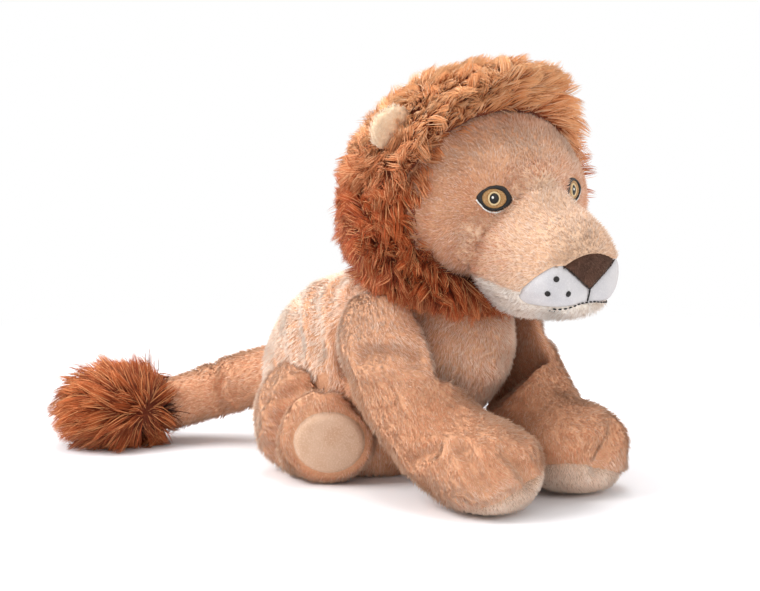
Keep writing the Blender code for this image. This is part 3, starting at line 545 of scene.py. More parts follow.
def strandPiece(name, path, normals, tint, pale, width, look, body, faceOut):
    count, places = path.shape[:2]
    rings = places - 1
    along = unit(np.gradient(path, axis=1))
    side = unit(np.cross(along, normals[:, None, :] + 1e-4))
    rise = np.cross(along, side)
    corners = np.empty((count, rings * 3 + 1, 3))
    lean = np.empty((count, rings * 3 + 1, 3))
    steps = np.empty(rings * 3 + 1)
    for ring in range(rings):
        step = ring / rings
        radius = width / 2 * (1 - step) ** 0.55
        for turn in range(3):
            angle = 2 * math.pi * turn / 3 + math.pi / 2
            out = side[:, ring] * math.cos(angle) + rise[:, ring] * math.sin(angle)
            corners[:, ring * 3 + turn] = path[:, ring] + out * radius
            lean[:, ring * 3 + turn] = out
            steps[ring * 3 + turn] = step
    corners[:, -1] = path[:, rings]
    lean[:, -1] = rise[:, -1]
    steps[-1] = 1
    corners[:, :, 2] = np.maximum(corners[:, :, 2], floorGap / 2)
    one = [(2, 1, 0)]
    for ring in range(rings - 1):
        low = ring * 3
        for turn in range(3):
            after = (turn + 1) % 3
            one.append((low + turn, low + after, low + 3 + after, low + 3 + turn))
    for turn in range(3):
        one.append(((rings - 1) * 3 + turn, (rings - 1) * 3 + (turn + 1) % 3, rings * 3))
    loops = np.array([corner for face in one for corner in face])
    sizes = np.array([len(face) for face in one])
    perStrand = rings * 3 + 1
    allLoops = (np.arange(count)[:, None] * perStrand + loops).ravel()
    starts = np.concatenate([[0], np.cumsum(np.tile(sizes, count))[:-1]])
    mesh = meshOf(name, corners, starts, allLoops)
    for label, values in (("tint", np.repeat(tint, perStrand)), ("rise", np.tile(steps, count)),
                          ("pale", np.repeat(pale, perStrand))):
        layer = mesh.attributes.new(label, "FLOAT", "POINT")
        layer.data.foreach_set("value", values.astype(np.float32))
    grid = math.ceil(math.sqrt(count))
    cell = np.stack([np.arange(count) % grid, np.arange(count) // grid], 1)
    inCell = np.stack([0.15 + 0.35 * (np.arange(perStrand) % 3), 0.1 + 0.8 * steps], 1)
    maps = (cell[:, None, :] + inCell[None]) / grid
    layer = mesh.uv_layers.new(name="OFBake", do_init=False)
    layer.uv.foreach_set("vector", maps.reshape(-1, 2)[allLoops].astype(np.float32).ravel())
    facing = unit(lean * (1 - faceOut) + normals[:, None, :] * faceOut)
    mesh.normals_split_custom_set_from_vertices(facing.reshape(-1, 3))
    addPiece(name, mesh, look, body)


# Sewn lines, folds and patches on a form
def gapTo(points, path):
    # Each point's distance from a path of straight stretches
    path = np.asarray(path, float)
    best = np.full(len(points), 1e9)
    for a, b in zip(path, path[1:]):
        along = b - a
        share = np.clip(((points - a) @ along) / max(along @ along, 1e-12), 0, 1)
        best = np.minimum(best, np.linalg.norm(points - a - share[:, None] * along, axis=1))
    return best


def awayFrom(points, form):
    # Each point's distance from a form's surface
    tree = form.tree()
    return np.array([tree.find_nearest(Vector(point))[3] for point in points])


def settled(form, path, finer=5):
    # A path drawn near a form, laid onto its surface with more points
    path = np.asarray(path, float)
    steps = np.linspace(0, len(path) - 1, (len(path) - 1) * finer + 1)
    dense = np.stack([np.interp(steps, np.arange(len(path)), path[:, i]) for i in range(3)], 1)
    tree = form.tree()
    return np.array([tree.find_nearest(Vector(point))[0] for point in dense])


def crease(form, path, depth, width, plump=0.35):
    # Presses a line into a form; the stuffing stands up on both sides of it
    gap = gapTo(form.points, settled(form, path))
    form.swell(-depth * np.exp(-(gap / width) ** 2)
               + depth * plump * np.exp(-((gap - 2 * width) / width) ** 2))


def groove(form, gap, depth, width):
    # The same along a seam that is given by each point's distance from it
    form.swell(-depth * np.exp(-(gap / width) ** 2))


def bump(form, place, height, width):
    # A soft rise or a dent about a point
    gap = np.linalg.norm(form.points - np.asarray(place), axis=1)
    form.swell(height * np.exp(-(gap / width) ** 2))


def bumpBoth(form, place, height, width):
    for sign in sides.values():
        bump(form, (sign * place[0], *place[1:]), height, width)


def rumple(form, height, size, seed, keepFlat=0.006):
    # Slack in the fabric: low soft waves, none where it rests on the floor
    waves = wander(form.points, size, seed)[:, 0]
    form.swell(height * waves * ease(0, keepFlat, form.points[:, 2]))


def mirrored(path, side):
    return [(x * -sides[side], y, z) for x, y, z in path]


def borderOf(form):
    pairs = rimsOf(form.corners)
    _, first, counts = np.unique(np.sort(pairs, 1), axis=0, return_index=True, return_counts=True)
    return pairs[first[counts == 1]]


def panelOf(form, chosen, thickness, sink, sinkWidth, rise=0.0):
    # A sewn panel: part of a form, pulled in along its seams, with a thickness of its own
    patch = form.only(chosen)
    normals = patch.normals()
    border = borderOf(patch)
    rim = patch.points[np.unique(border)]
    finder = finderOf(rim)
    gap = np.array([finder.find(point)[2] for point in patch.points])
    inward = (1 - ease(0, sinkWidth, gap)) ** 2
    patch.points = patch.points + normals * (rise * ease(0, sinkWidth * 2, gap) - sink * inward)[:, None]
    count = len(patch.points)
    under = patch.points - normals * thickness
    corners = np.concatenate([patch.corners, patch.corners[:, ::-1] + count,
                              np.stack([border[:, 1], border[:, 0], border[:, 0] + count], 1),
                              np.stack([border[:, 1], border[:, 0] + count, border[:, 1] + count], 1)])
    return Form(np.concatenate([patch.points, under]), corners), patch


def splitAt(form, values):
    # The same form with an edge wherever the values pass through zero
    corners = form.corners
    above = values[corners] > 0
    mixed = above.any(1) & ~above.all(1)
    cut, flags = corners[mixed], above[mixed]
    lone = np.where(flags.sum(1) == 1, flags.argmax(1), (~flags).argmax(1))
    cut = np.take_along_axis(cut, (lone[:, None] + np.arange(3)) % 3, 1)
    pairs = np.sort(np.concatenate([cut[:, [0, 1]], cut[:, [0, 2]]]), 1)
    edges, owner = np.unique(pairs, axis=0, return_inverse=True)
    owner = owner.ravel() + len(form.points)
    near, far = values[edges[:, 0]], values[edges[:, 1]]
    share = np.clip(near / (near - far), 0.06, 0.94)[:, None]
    fresh = form.points[edges[:, 0]] * (1 - share) + form.points[edges[:, 1]] * share
    first, second = owner[:len(cut)], owner[len(cut):]
    return Form(np.concatenate([form.points, fresh]), np.concatenate([
        corners[~mixed],
        np.stack([cut[:, 0], first, second], 1),
        np.stack([first, cut[:, 1], cut[:, 2]], 1),
        np.stack([first, cut[:, 2], second], 1)]))


def onSurface(form, centre, facing, upward, spots, far=0.03):
    # Flat spots about a centre, cast back onto a form; gives places and the form's normals there
    facing = Vector(facing).normalized()
    across = Vector(upward).cross(facing).normalized()
    rise = facing.cross(across)
    tree = form.tree()
    places, normals = [], []
    for a, b in spots:
        start = Vector(centre) + across * a + rise * b + facing * far
        place, normal, _, _ = tree.ray_cast(start, -facing)
        if place is None:
            place, normal, _, _ = tree.find_nearest(start - facing * far)
        places.append(place)
        normals.append(normal)
    return np.array(places), np.array(normals)


def embroider(name, form, frameOf, inner, outer, top, look="blackThread", replaced=(), ridges=0.0,
              rings=5, below=0.0008):
    # A closed patch of thread between two outlines of the same count, or a full patch if inner is None
    outer = np.asarray(outer, float)
    count = len(outer)
    middle = outer.mean(0)
    core = np.tile(middle, (count, 1)) if inner is None else np.asarray(inner, float)
    shares = np.linspace(0, 1, rings + 1)
    crown = np.sin(math.pi * ((1 - shares) / 2 if inner is None else shares))
    profile = list(zip(shares, top * (0.72 + 0.28 * crown)))
    profile[-1] = (1.0, top * 0.45)
    if inner is not None:
        profile[0] = (0.0, top * 0.45)
    profile += [(1.0, -below)] + [(share, -below) for share in shares[::-1][1:]]
    turns = np.arange(count)
    points, corners = [], []
    for share, height in profile:
        spots = core * (1 - share) + outer * share
        places, normals = onSurface(form, *frameOf, spots)
        smooth = normals.mean(0)
        normals = unit(normals * 0.3 + smooth * 0.7)
        ridge = ridges * np.cos(turns * math.pi) * (height > 0)
        points.append(places + normals * (height + ridge)[:, None])
    total = len(profile)
    for ring in range(total):
        after = (ring + 1) % total
        if inner is None and ring == total - 1:
            continue
        for turn in range(count):
            beside = (turn + 1) % count
            corners.append((ring * count + turn, ring * count + beside, after * count + beside))
            corners.append((ring * count + turn, after * count + beside, after * count + turn))
    draft = Form(np.concatenate(points), corners)
    shape = bmesh.new()
    made = [shape.verts.new(point) for point in draft.points]
    for face in draft.corners:
        shape.faces.new([made[i] for i in face])
    bmesh.ops.remove_doubles(shape, verts=shape.verts, dist=2e-6)
    bmesh.ops.recalc_face_normals(shape, faces=shape.faces)
    addThread(name, shape, look, replaced)


def stitchRow(name, form, path, length, space, radius, raised, replaced=(), loose=0.0, look="blackThread",
              seed=5):
    # A row of short stitches: small closed beads laid along a path on a form
    draw = np.random.default_rng(seed)
    path = settled(form, path, 8)
    gaps = np.linalg.norm(np.diff(path, axis=0), axis=1)
    travelled = np.concatenate([[0], np.cumsum(gaps)])
    shape = bmesh.new()
    at = 0.0
    tree = form.tree()
    while at + length * 0.6 < travelled[-1]:
        ends = [at, min(at + length, travelled[-1])]
        first, last = (Vector([np.interp(end, travelled, path[:, i]) for i in range(3)]) for end in ends)
        _, normal, _, _ = tree.find_nearest((first + last) / 2)
        along = (last - first).normalized()
        along = (along + Vector(draw.normal(size=3)) * loose).normalized()
        turn = along.to_track_quat("X", "Z").to_matrix().to_4x4()
        middle = (first + last) / 2 + normal * raised
        size = Matrix.Diagonal(((last - first).length / 2, radius, radius, 1))
        made = bmesh.ops.create_uvsphere(shape, u_segments=8, v_segments=6, radius=1.0)
        tip = Matrix.Rotation(math.pi / 2, 4, "Y")
        bmesh.ops.transform(shape, verts=made["verts"], matrix=Matrix.Translation(middle) @ turn @ size @ tip)
        at += length + space
    addThread(name, shape, look, replaced)


print("lion: shaping the stuffed forms")
fabric = {"voxel": 0.0024, "passes": 22, "full": 0.0006}


def stuffed(names, voxel=None, passes=None, full=None):
    form = skinOf(names, voxel or fabric["voxel"], passes or fabric["passes"])
    return form.swell(fabric["full"] if full is None else full)


def grounded(form, lowest=0.0004):
    form.points[:, 2] = np.maximum(form.points[:, 2], lowest)
    return form


# Cloth under the stuffing's pressure: how coarse, how long, how slack, and how far it may move
puff = {"voxel": 0.0048, "pressure": 4.0, "frames": 20, "slack": 0.03, "most": 0.0030, "shrink": 0.0012,
        "pinWidth": 0.0045, "even": 2, "floorPin": (0.0010, 0.0040), "otherPin": (0.0015, 0.0060),
        "near": 5, "nearSoft": 0.0006}
clothRule = {"quality": 6, "mass": 0.2, "tension_stiffness": 12.0, "compression_stiffness": 12.0,
             "bending_stiffness": 0.3, "use_pressure": True, "uniform_pressure_force": puff["pressure"],
             "shrink_min": -puff["slack"], "vertex_group_mass": "pins"}


def puffed(form, seams, others=()):
    # Lets the fabric fill out between its seams in a cloth simulation, and moves the form with it
    form.swell(-puff["shrink"])
    coarse = remeshed(closedMesh("draft", form), puff["voxel"])
    before = formOf(coarse)
    gap = np.full(len(before.points), 1.0)
    for path in seams:
        gap = np.minimum(gap, gapTo(before.points, settled(form, path)))
    held = 1 - ease(0.3, 1.0, gap / puff["pinWidth"])
    held = np.maximum(held, 1 - ease(*puff["floorPin"], before.points[:, 2]))
    for other in others:
        held = np.maximum(held, 1 - ease(*puff["otherPin"], awayFrom(before.points, other)))
    piece = placed("fabric", coarse)
    pins = piece.vertex_groups.new(name="pins")
    for index in np.nonzero(held > 0.02)[0]:
        pins.add([int(index)], float(held[index]), "REPLACE")
    cloth = piece.modifiers.new("cloth", "CLOTH").settings
    for key, value in clothRule.items():
        setattr(cloth, key, value)
    cloth.effector_weights.gravity = 0.0
    for number in range(1, puff["frames"] + 1):
        bpy.context.scene.frame_set(number)
    finished = piece.evaluated_get(bpy.context.evaluated_depsgraph_get()).data
    after = np.empty(len(before.points) * 3)
    finished.vertices.foreach_get("co", after)
    moved = after.reshape(-1, 3) - before.points
    far = np.linalg.norm(moved, axis=1, keepdims=True)
    moved *= np.minimum(1, puff["most"] / np.maximum(far, 1e-9))
    pairs, count = before.aroundEach()
    for _ in range(puff["even"]):
        moved = moved * 0.5 + before.spread(moved, pairs, count) * 0.5
    print(f"lion: {len(moved)} points of cloth moved {far.mean() * 1000:.1f} mm")
    finder = finderOf(before.points)
    for index, point in enumerate(form.points.copy()):
        near = finder.find_n(point, puff["near"])
        weights = np.array([1 / (distance + puff["nearSoft"]) ** 2 for _, _, distance in near])
        form.points[index] += weights @ moved[[one[1] for one in near]] / weights.sum()
    bpy.data.objects.remove(piece)
    bpy.data.meshes.remove(coarse)
    bpy.context.scene.frame_set(1)
    form.found = None
    return form


# Torso: a chest panel and a rump panel, with slack folds over the flanks
body = {"seamY": 0.002, "seamLean": -7.0, "seamTop": 0.117, "seamDepth": 0.0016, "seamWidth": 0.0028,
        "foldDepth": 0.0022, "foldWidth": 0.0045, "foldPlump": 0.6, "slack": 0.0006, "slackSize": 0.035,
        "belly": (0.010, -0.046, 0.041), "bellyRise": 0.0035, "bellyWidth": 0.014,
        "folds": [[(0.026, 0.055, 0.100), (0.043, 0.038, 0.088), (0.0495, 0.029, 0.074)],
                  [(0.024, 0.036, 0.107), (0.039, 0.026, 0.100), (0.0485, 0.015, 0.086), (0.051, 0.013, 0.074)],
                  [(0.030, 0.016, 0.109), (0.042, 0.0115, 0.102), (0.049, 0.003, 0.087)]]}
torso = stuffed(["chest_skin", "rump_skin", "body_stuffing"])
lean = math.radians(body["seamLean"])
fromSeam = ((torso.points[:, 1] - body["seamY"]) * math.cos(lean)
            + (torso.points[:, 2] - body["seamTop"]) * math.sin(lean))
groove(torso, fromSeam, body["seamDepth"], body["seamWidth"])
seamLine = [torso.points[index] for index in np.nonzero(np.abs(fromSeam) < 0.0008)[0][::6]]
for side in ("right", "left"):
    for path in body["folds"]:
        crease(torso, mirrored(path, side), body["foldDepth"], body["foldWidth"], body["foldPlump"])
bumpBoth(torso, body["belly"], body["bellyRise"], body["bellyWidth"])
rumple(torso, body["slack"], body["slackSize"], 21)
neck = stuffed(["neck_stuffing"], full=-0.0004)

# An eye's outline as places outward and up from the pupil, seen square on, in metres
eye = {"x": 0.0312, "z": 0.1676, "y": -0.1012, "turn": 22.0,
       "lids": [(0.0104, 0.0009), (0.0085, 0.0030), (0.0048, 0.0052), (0.0, 0.0066), (-0.0036, 0.0066),
                (-0.0066, 0.0056), (-0.0088, 0.0028), (-0.0112, -0.0016), (-0.0102, -0.0034),
                (-0.0074, -0.0052), (-0.0038, -0.0064), (0.0, -0.0067), (0.0036, -0.0058), (0.0072, -0.0030)],
       "openLong": 0.0071, "openHigh": 0.0050, "openTilt": 6.0, "ring": 0.0038, "pupil": 0.0027,
       "glint": 0.0009, "glintPlace": (-0.0010, 0.0005), "ridges": 0.00007, "points": 48}


def eyePlace(sign):
    return sign * eye["x"], eye["y"], eye["z"]


# Head, with full cheeks
skull = {"cheek": (0.060, -0.078, 0.148), "cheekRise": 0.0042, "cheekWidth": 0.026,
         "brow": (0.024, -0.104, 0.186), "browRise": 0.0016, "browWidth": 0.014,
         "bridge": (0.0, -0.107, 0.176), "bridgeRise": 0.0034, "bridgeWidth": 0.013}


def fullFace(form):
    for side, sign in sides.items():
        bump(form, (sign * skull["cheek"][0], *skull["cheek"][1:]), skull["cheekRise"], skull["cheekWidth"])
        bump(form, (sign * skull["brow"][0], *skull["brow"][1:]), skull["browRise"], skull["browWidth"])
    bump(form, skull["bridge"], skull["bridgeRise"], skull["bridgeWidth"])
    return form


head = fullFace(stuffed(["head_skin", "head_stuffing"]))

# Muzzle: one padded form that runs into the face, cut along its seams into five panels
muzzleCut = {"padPlace": (-0.133, 0.1308), "padSlope": 37.0, "padBack": -0.1150, "padRound": 0.0022,
             "backPlace": (-0.116, 0.1195), "backSlope": 0.27,
             "mouthZ": 0.1127, "mouthDrop": 0.0006, "mouthReach": 0.020, "mouthBend": 1.35,
             "noseBack": -0.118, "noseCorner": (0.0198, 0.1344), "noseTip": 0.1208, "noseTop": 0.1394,
             "fill": 0.0030, "fillTop": 0.0016, "fillWidth": 0.0095, "backY": -0.086,
             "fillFromEye": (0.0125, 0.022), "fillPasses": 16, "smoothPasses": 14,
             "tip": (0.0, -0.138, 0.131), "tipRise": 0.0012, "tipWidth": 0.012,
             "lip": (0.018, -0.131, 0.121), "lipRise": 0.0014, "lipWidth": 0.010}
muzzleNodes = ["muzzle_bridge", "whisker_pad_left", "whisker_pad_right", "chin", "nose"]
muzzle = fullFace(stuffed([*muzzleNodes, "head_skin", "head_stuffing"], voxel=0.0015, passes=30))
snout = stuffed(muzzleNodes, voxel=0.0024)

facing = np.nonzero(muzzle.points[:, 1] < -0.075)[0]
fromSnout = np.full(len(muzzle.points), 1.0)
fromSnout[facing] = awayFrom(muzzle.points[facing], snout)
joint = facing[(fromSnout[facing] < 0.0016)]
joint = joint[awayFrom(muzzle.points[joint], head) < 0.0024]
finder = finderOf(muzzle.points[joint])
fromJoint = np.full(len(muzzle.points), 1.0)
fromJoint[facing] = [finder.find(muzzle.points[index])[2] for index in facing]
fill = muzzleCut["fill"] + muzzleCut["fillTop"] * ease(0.135, 0.160, muzzle.points[:, 2])
for side, sign in sides.items():
    fromEye = np.linalg.norm(muzzle.points - eyePlace(sign), axis=1)
    fill = fill * ease(*muzzleCut["fillFromEye"], fromEye)
fill = (fill * np.exp(-(fromJoint / muzzleCut["fillWidth"]) ** 2))[:, None]
pairs, count = muzzle.aroundEach()
for _ in range(muzzleCut["fillPasses"]):
    fill = muzzle.spread(fill, pairs, count)
muzzle.swell(fill[:, 0])
muzzle.smooth(muzzleCut["smoothPasses"])
bump(muzzle, muzzleCut["tip"], muzzleCut["tipRise"], muzzleCut["tipWidth"])
bumpBoth(muzzle, muzzleCut["lip"], muzzleCut["lipRise"], muzzleCut["lipWidth"])


def fromNose(points):
    # Below zero inside the nose's outline
    across, up = np.abs(points[:, 0]), points[:, 2]
    wide, high = muzzleCut["noseCorner"]
    low, top = muzzleCut["noseTip"], muzzleCut["noseTop"]
    rise = (high - low) / wide
    under = (low + across * rise - up) / math.hypot(1, rise)
    over = up - (top - (top - high) * (across / wide) ** 2)
    return np.where(points[:, 1] < muzzleCut["noseBack"], np.maximum(under, over), 0.02)


def fromWhite(points):
    # Below zero under the seam between the cream bridge and the white pads and chin
    slope = math.radians(muzzleCut["padSlope"])
    frontY, frontZ = muzzleCut["padPlace"]
    backY, backZ = muzzleCut["backPlace"]
    front = (points[:, 1] - frontY) * math.sin(slope) + (points[:, 2] - frontZ) * math.cos(slope)
    back = points[:, 2] - backZ - (points[:, 1] - backY) * muzzleCut["backSlope"]
    level = points[:, 2] - muzzleCut["noseCorner"][1] - 0.0005
    return np.minimum(np.maximum(front, level), back)


def fromMouth(points):
    # Above zero over the mouth's line
    across = np.abs(points[:, 0]) / muzzleCut["mouthReach"]
    return points[:, 2] - muzzleCut["mouthZ"] + muzzleCut["mouthDrop"] * across ** muzzleCut["mouthBend"]


def fromPad(points):
    # Below zero in front of the pads' rounded rear edge
    soft = muzzleCut["padRound"]
    edges = np.stack([points[:, 1] - muzzleCut["padBack"], -fromMouth(points), fromWhite(points)])
    return soft * np.log(np.exp(edges / soft).sum(0))


for seam in (fromNose, fromWhite, fromPad, lambda points: points[:, 0] + 1e-5):
    muzzle = splitAt(muzzle, seam(muzzle.points))
middles = muzzle.centres()
front = (middles[:, 1] < muzzleCut["backY"]) & clearOf(middles, [head], 0.00015)
outer = muzzle.only(front).biggest()
outer.reach = 0.0040
middles = outer.centres()
inNose = fromNose(middles) < 0
inPad = ~inNose & (fromPad(middles) < 0)
inWhite = ~inNose & ~inPad & (fromWhite(middles) < 0)
panels = {
    "muzzle_bridge": ~inNose & ~inPad & ~inWhite,
    "whisker_pad_left": inPad & (middles[:, 0] > 0),
    "whisker_pad_right": inPad & (middles[:, 0] < 0),
    "chin": inWhite,
    "nose": inNose,
}

mane = stuffed(["mane"], passes=14, full=0.0)
tail = stuffed(["tail_skin", "tail_stuffing"], voxel=0.002)
tailFolds = {0.0022: [(-0.029, 0.123, 0.040), (-0.026, 0.126, 0.028), (-0.020, 0.128, 0.018)],
             0.0014: [(-0.029, 0.123, 0.040), (-0.024, 0.133, 0.044), (-0.016, 0.140, 0.036)]}
for depth, path in tailFolds.items():
    crease(tail, path, depth, 0.003)
tuft = stuffed(["tail_tuft"], voxel=0.002, full=-0.005)
for form in (tail, tuft):
    grounded(form)

# Legs, with a fold at the elbow and the wrist, and two creases between the toes
paws = {"toes": [[(-0.0431, -0.1219, 0.0370), (-0.0384, -0.1240, 0.0323), (-0.0317, -0.1243, 0.0260),
                  (-0.0266, -0.1232, 0.0196)],
                 [(-0.0574, -0.1045, 0.0380), (-0.0587, -0.1100, 0.0343), (-0.0587, -0.1159, 0.0267),
                  (-0.0569, -0.1186, 0.0205)]],
        "toeDepth": 0.0035, "toeWidth": 0.0036,
        "elbow": [(-0.0636, -0.036, 0.0795), (-0.0594, -0.0524, 0.0833), (-0.0530, -0.0632, 0.0810)],
        "wrist": [(-0.066, -0.074, 0.028), (-0.066, -0.083, 0.033), (-0.0646, -0.091, 0.037)],
        "elbowDepth": {"left": 0.0016, "right": 0.0046}, "elbowWidth": 0.0046,
        "wristDepth": 0.0028, "wristWidth": 0.0034, "slack": 0.0005, "slackSize": 0.03,
        "soleFrom": (-0.0545, -0.1034, 0.0050), "soleAcross": 0.321, "soleAlong": -0.269}
feet = {"crease": [(-0.0657, 0.0416, 0.0447), (-0.0648, 0.0306, 0.049), (-0.0617, 0.0223, 0.0537)],
        "ring": [(-0.0560, 0.0430, 0.0060), (-0.0611, 0.0411, 0.0117), (-0.0669, 0.0344, 0.0206),
                 (-0.0699, 0.0283, 0.0329), (-0.0686, 0.0246, 0.0446), (-0.0647, 0.0222, 0.0507),
                 (-0.0614, 0.0175, 0.0549), (-0.0560, 0.0125, 0.0580), (-0.0490, 0.0060, 0.0585)],
        "ringDepth": 0.0056, "ringWidth": 0.0052, "creaseDepth": 0.0016, "creaseWidth": 0.0030,
        "place": (-0.0586, -0.0034, 0.0250), "out": 42.0, "down": 12.0, "depth": 0.0045, "radiusX": 0.0213,
        "radiusZ": 0.0198}
legs = {}
for side in sides:
    fore = stuffed([f"foreleg_{side}_skin", f"foreleg_{side}_stuffing", f"forepaw_{side}_sole"])
    hind = stuffed([f"hindleg_{side}_skin", f"hindleg_{side}_stuffing", f"hindpaw_{side}_sole"])
    for path in paws["toes"]:
        crease(fore, mirrored(path, side), paws["toeDepth"], paws["toeWidth"], 0.25)
    crease(fore, mirrored(paws["elbow"], side), paws["elbowDepth"][side], paws["elbowWidth"])
    crease(fore, mirrored(paws["wrist"], side), paws["wristDepth"], paws["wristWidth"], 0.4)
    crease(hind, mirrored(feet["ring"], side), feet["ringDepth"], feet["ringWidth"])
    crease(hind, mirrored(feet["crease"], side), feet["creaseDepth"], feet["creaseWidth"], 0.5)
    rumple(fore, paws["slack"], paws["slackSize"], 31)
    legs["fore", side], legs["hind", side] = fore, hind
ears = {side: stuffed([f"ear_{side}"], voxel=0.0012, passes=12, full=0.0004) for side in sides}


def foreSole(points, side):
    # How far a point lies above the seam round the forepaw's sole
    x, y, z = paws["soleFrom"]
    return points[:, 2] - (z + paws["soleAcross"] * (points[:, 0] * -sides[side] - x)
                           + paws["soleAlong"] * (points[:, 1] - y))


def hindSole(points, side):
    # How far a point lies outside the oval seam round the hind foot's sole, as a share of its radius
    out, down = math.radians(feet["out"]), math.radians(feet["down"])
    sign = sides[side]
    flat = math.cos(down)
    facing = np.array([sign * math.sin(out) * flat, -math.cos(out) * flat, -math.sin(down)])
    x, y, z = feet["place"]
    offset = points - np.array([-x * sign, y, z])
    across = unit(np.cross([0, 0, 1.0], facing))
    rise = np.cross(facing, across)
    reach = np.sqrt((offset @ across / feet["radiusX"]) ** 2 + (offset @ rise / feet["radiusZ"]) ** 2)
    return np.where(offset @ facing > -feet["depth"] * 2.2, reach - 1, 1.0)


soles = {}
print("lion: simulating the fabric")
for side in sides:
    fore, hind = legs["fore", side], legs["hind", side]
    foreFolds = [mirrored(path, side) for path in [*paws["toes"], paws["elbow"], paws["wrist"]]]
    puffed(fore, foreFolds, [torso])
    puffed(hind, [mirrored(feet["ring"], side), mirrored(feet["crease"], side)], [torso])
foldLines = [mirrored(path, side) for path in body["folds"] for side in sides]
limbs = [legs[kind, side] for kind in ("fore", "hind") for side in sides]
puffed(torso, [*foldLines, *[(point, point + 1e-5) for point in seamLine]], limbs)
for form in (torso, *legs.values()):
    grounded(form)
for side in sides:
    fore, hind = legs["fore", side], legs["hind", side]
    groove(fore, foreSole(fore.points, side), 0.0009, 0.0016)
    groove(hind, hindSole(hind.points, side) * feet["radiusX"], 0.0018, 0.0020)
    grounded(fore)
    grounded(hind)
    for kind, edgeOf, sink, sinkWidth, rise in (("fore", foreSole, 0.0004, 0.002, 0.0006),
                                                ("hind", hindSole, 0.0006, 0.003, 0.0010)):
        cut = splitAt(legs[kind, side], edgeOf(legs[kind, side].points, side))
        sole, _ = panelOf(cut, edgeOf(cut.centres(), side) < 0, 0.0012, sink, sinkWidth, rise)
        soles[kind, side] = grounded(sole)

print("lion: dressing the body")
addForm("torso_plush", torso, "tanCloth", "torso", ["chest_skin", "rump_skin", "body_stuffing"])
addForm("neck_plush", neck, "tanCloth", "neck", ["neck_stuffing"])
addForm("head_plush", head, "tanCloth", "head", ["head_skin", "head_stuffing"])
# Each panel's cloth and slot, how far and how wide it is pulled in at its seam, and how far it stands out
panelLook = {
    "muzzle_bridge": ("plush", "creamCloth", "cream_plush", 0.0003, 0.0016, 0.0),
    "whisker_pad_left": ("velour", "padVelour", "white_plush", 0.0009, 0.0024, 0.0004),
    "whisker_pad_right": ("velour", "padVelour", "white_plush", 0.0009, 0.0024, 0.0004),
    "chin": ("plush", "paleCloth", "white_plush", 0.0006, 0.0020, 0.0),
    "nose": ("velour", "noseVelour", "nose_velour", 0.0006, 0.0016, 0.0008)}
skins = {}
for node, (kind, look, slot, sink, sinkWidth, rise) in panelLook.items():
    closed, skins[node] = panelOf(outer, panels[node], 0.0014, sink, sinkWidth, rise)
    addForm(f"{node}_{kind}", closed, look, "head", [node])
# Painted shade: the mane's backing and the tuft's core are dark, as the depth of the long pile
addForm("mane_backing", mane, "maneBacking", "head", ["mane"])
addForm("tail_plush", tail, "tanCloth", "tail", ["tail_skin", "tail_stuffing"])
addForm("tuft_core", tuft, "maneBacking", "tail", ["tail_tuft"])
for side in sides:
    for kind in ("fore", "hind"):
        leg, sole, ear = f"{kind}leg_{side}", f"{kind}paw_{side}_sole", f"ear_{side}"
        addForm(f"{leg}_plush", legs[kind, side], "tanCloth", leg,
                [f"{leg}_skin", f"{leg}_stuffing"])
        addForm(f"{sole}_velour", soles[kind, side], "soleVelour", leg, [sole])
    addForm(f"{ear}_velour", ears[side], "earVelour", ear, [ear])

print("lion: embroidering the face")
turns = np.arange(eye["points"]) * 2 * math.pi / eye["points"]


def lidOutline(more=0.0):
    # The lids' outline at even turns about the pupil
    spots = np.array(eye["lids"])
    angles = np.arctan2(spots[:, 1], spots[:, 0]) % (2 * math.pi)
    reach = np.hypot(spots[:, 0], spots[:, 1]) + more
    order = np.argsort(angles)
    angles, reach = angles[order], reach[order]
    wide = np.concatenate([angles - 2 * math.pi, angles, angles + 2 * math.pi])
    at = np.interp(turns, wide, np.tile(reach, 3))
    return np.stack([at * np.cos(turns), at * np.sin(turns)], 1)


def oval(long, high, tilt=0.0, x=0.0, z=0.0):
    lean = math.radians(tilt)
    reach = long * high / np.hypot(high * np.cos(turns - lean), long * np.sin(turns - lean))
    return np.stack([x + reach * np.cos(turns), z + reach * np.sin(turns)], 1)


def sided(spots, sign):
    # Outward is to the camera's left on the right eye, and the other way on the left
    flat = np.array(spots, float)
    flat[:, 0] *= sign
    return flat if sign > 0 else flat[::-1]


for side, sign in sides.items():
    turn = math.radians(eye["turn"])
    facing = (sign * math.sin(turn), -math.cos(turn), 0.0)
    frameOf = (eyePlace(sign), facing, (0, 0, 1))
    opening = oval(eye["openLong"], eye["openHigh"], eye["openTilt"])
    lids, rim, far, ring, pupil, dark = (sided(spots, sign) for spots in (
        lidOutline(), opening, opening * 1.06, oval(eye["ring"], eye["ring"]),
        oval(eye["pupil"], eye["pupil"]), oval(eye["pupil"], eye["pupil"]) * 1.04))
    glint = oval(eye["glint"], eye["glint"] * 1.1, 0, *eye["glintPlace"])
    embroider(f"iris_{side}_outer", head, frameOf, ring, far, 0.00085, "amberThread", [f"iris_{side}"],
              eye["ridges"])
    embroider(f"iris_{side}_inner", head, frameOf, pupil, ring, 0.00095, "goldThread", (), eye["ridges"])
    embroider(f"pupil_{side}_thread", head, frameOf, None, dark, 0.00115, replaced=[f"pupil_{side}"])
    embroider(f"eye_rim_{side}_thread", head, frameOf, rim, lids, 0.00135, replaced=[f"eye_rim_{side}"])
    embroider(f"eye_glint_{side}", head, frameOf, None, glint, 0.0015, "whiteThread",
              rings=2)
    low = sided(lidOutline(0.0006), sign)
    low = low[np.argsort(low[:, 0])]
    places, _ = onSurface(head, *frameOf, low[low[:, 1] < 0.0008])
    stitchRow(f"eye_lid_{side}_thread", head, places, 0.0016, -0.0003, 0.00045, 0.0006, look="whiteThread")

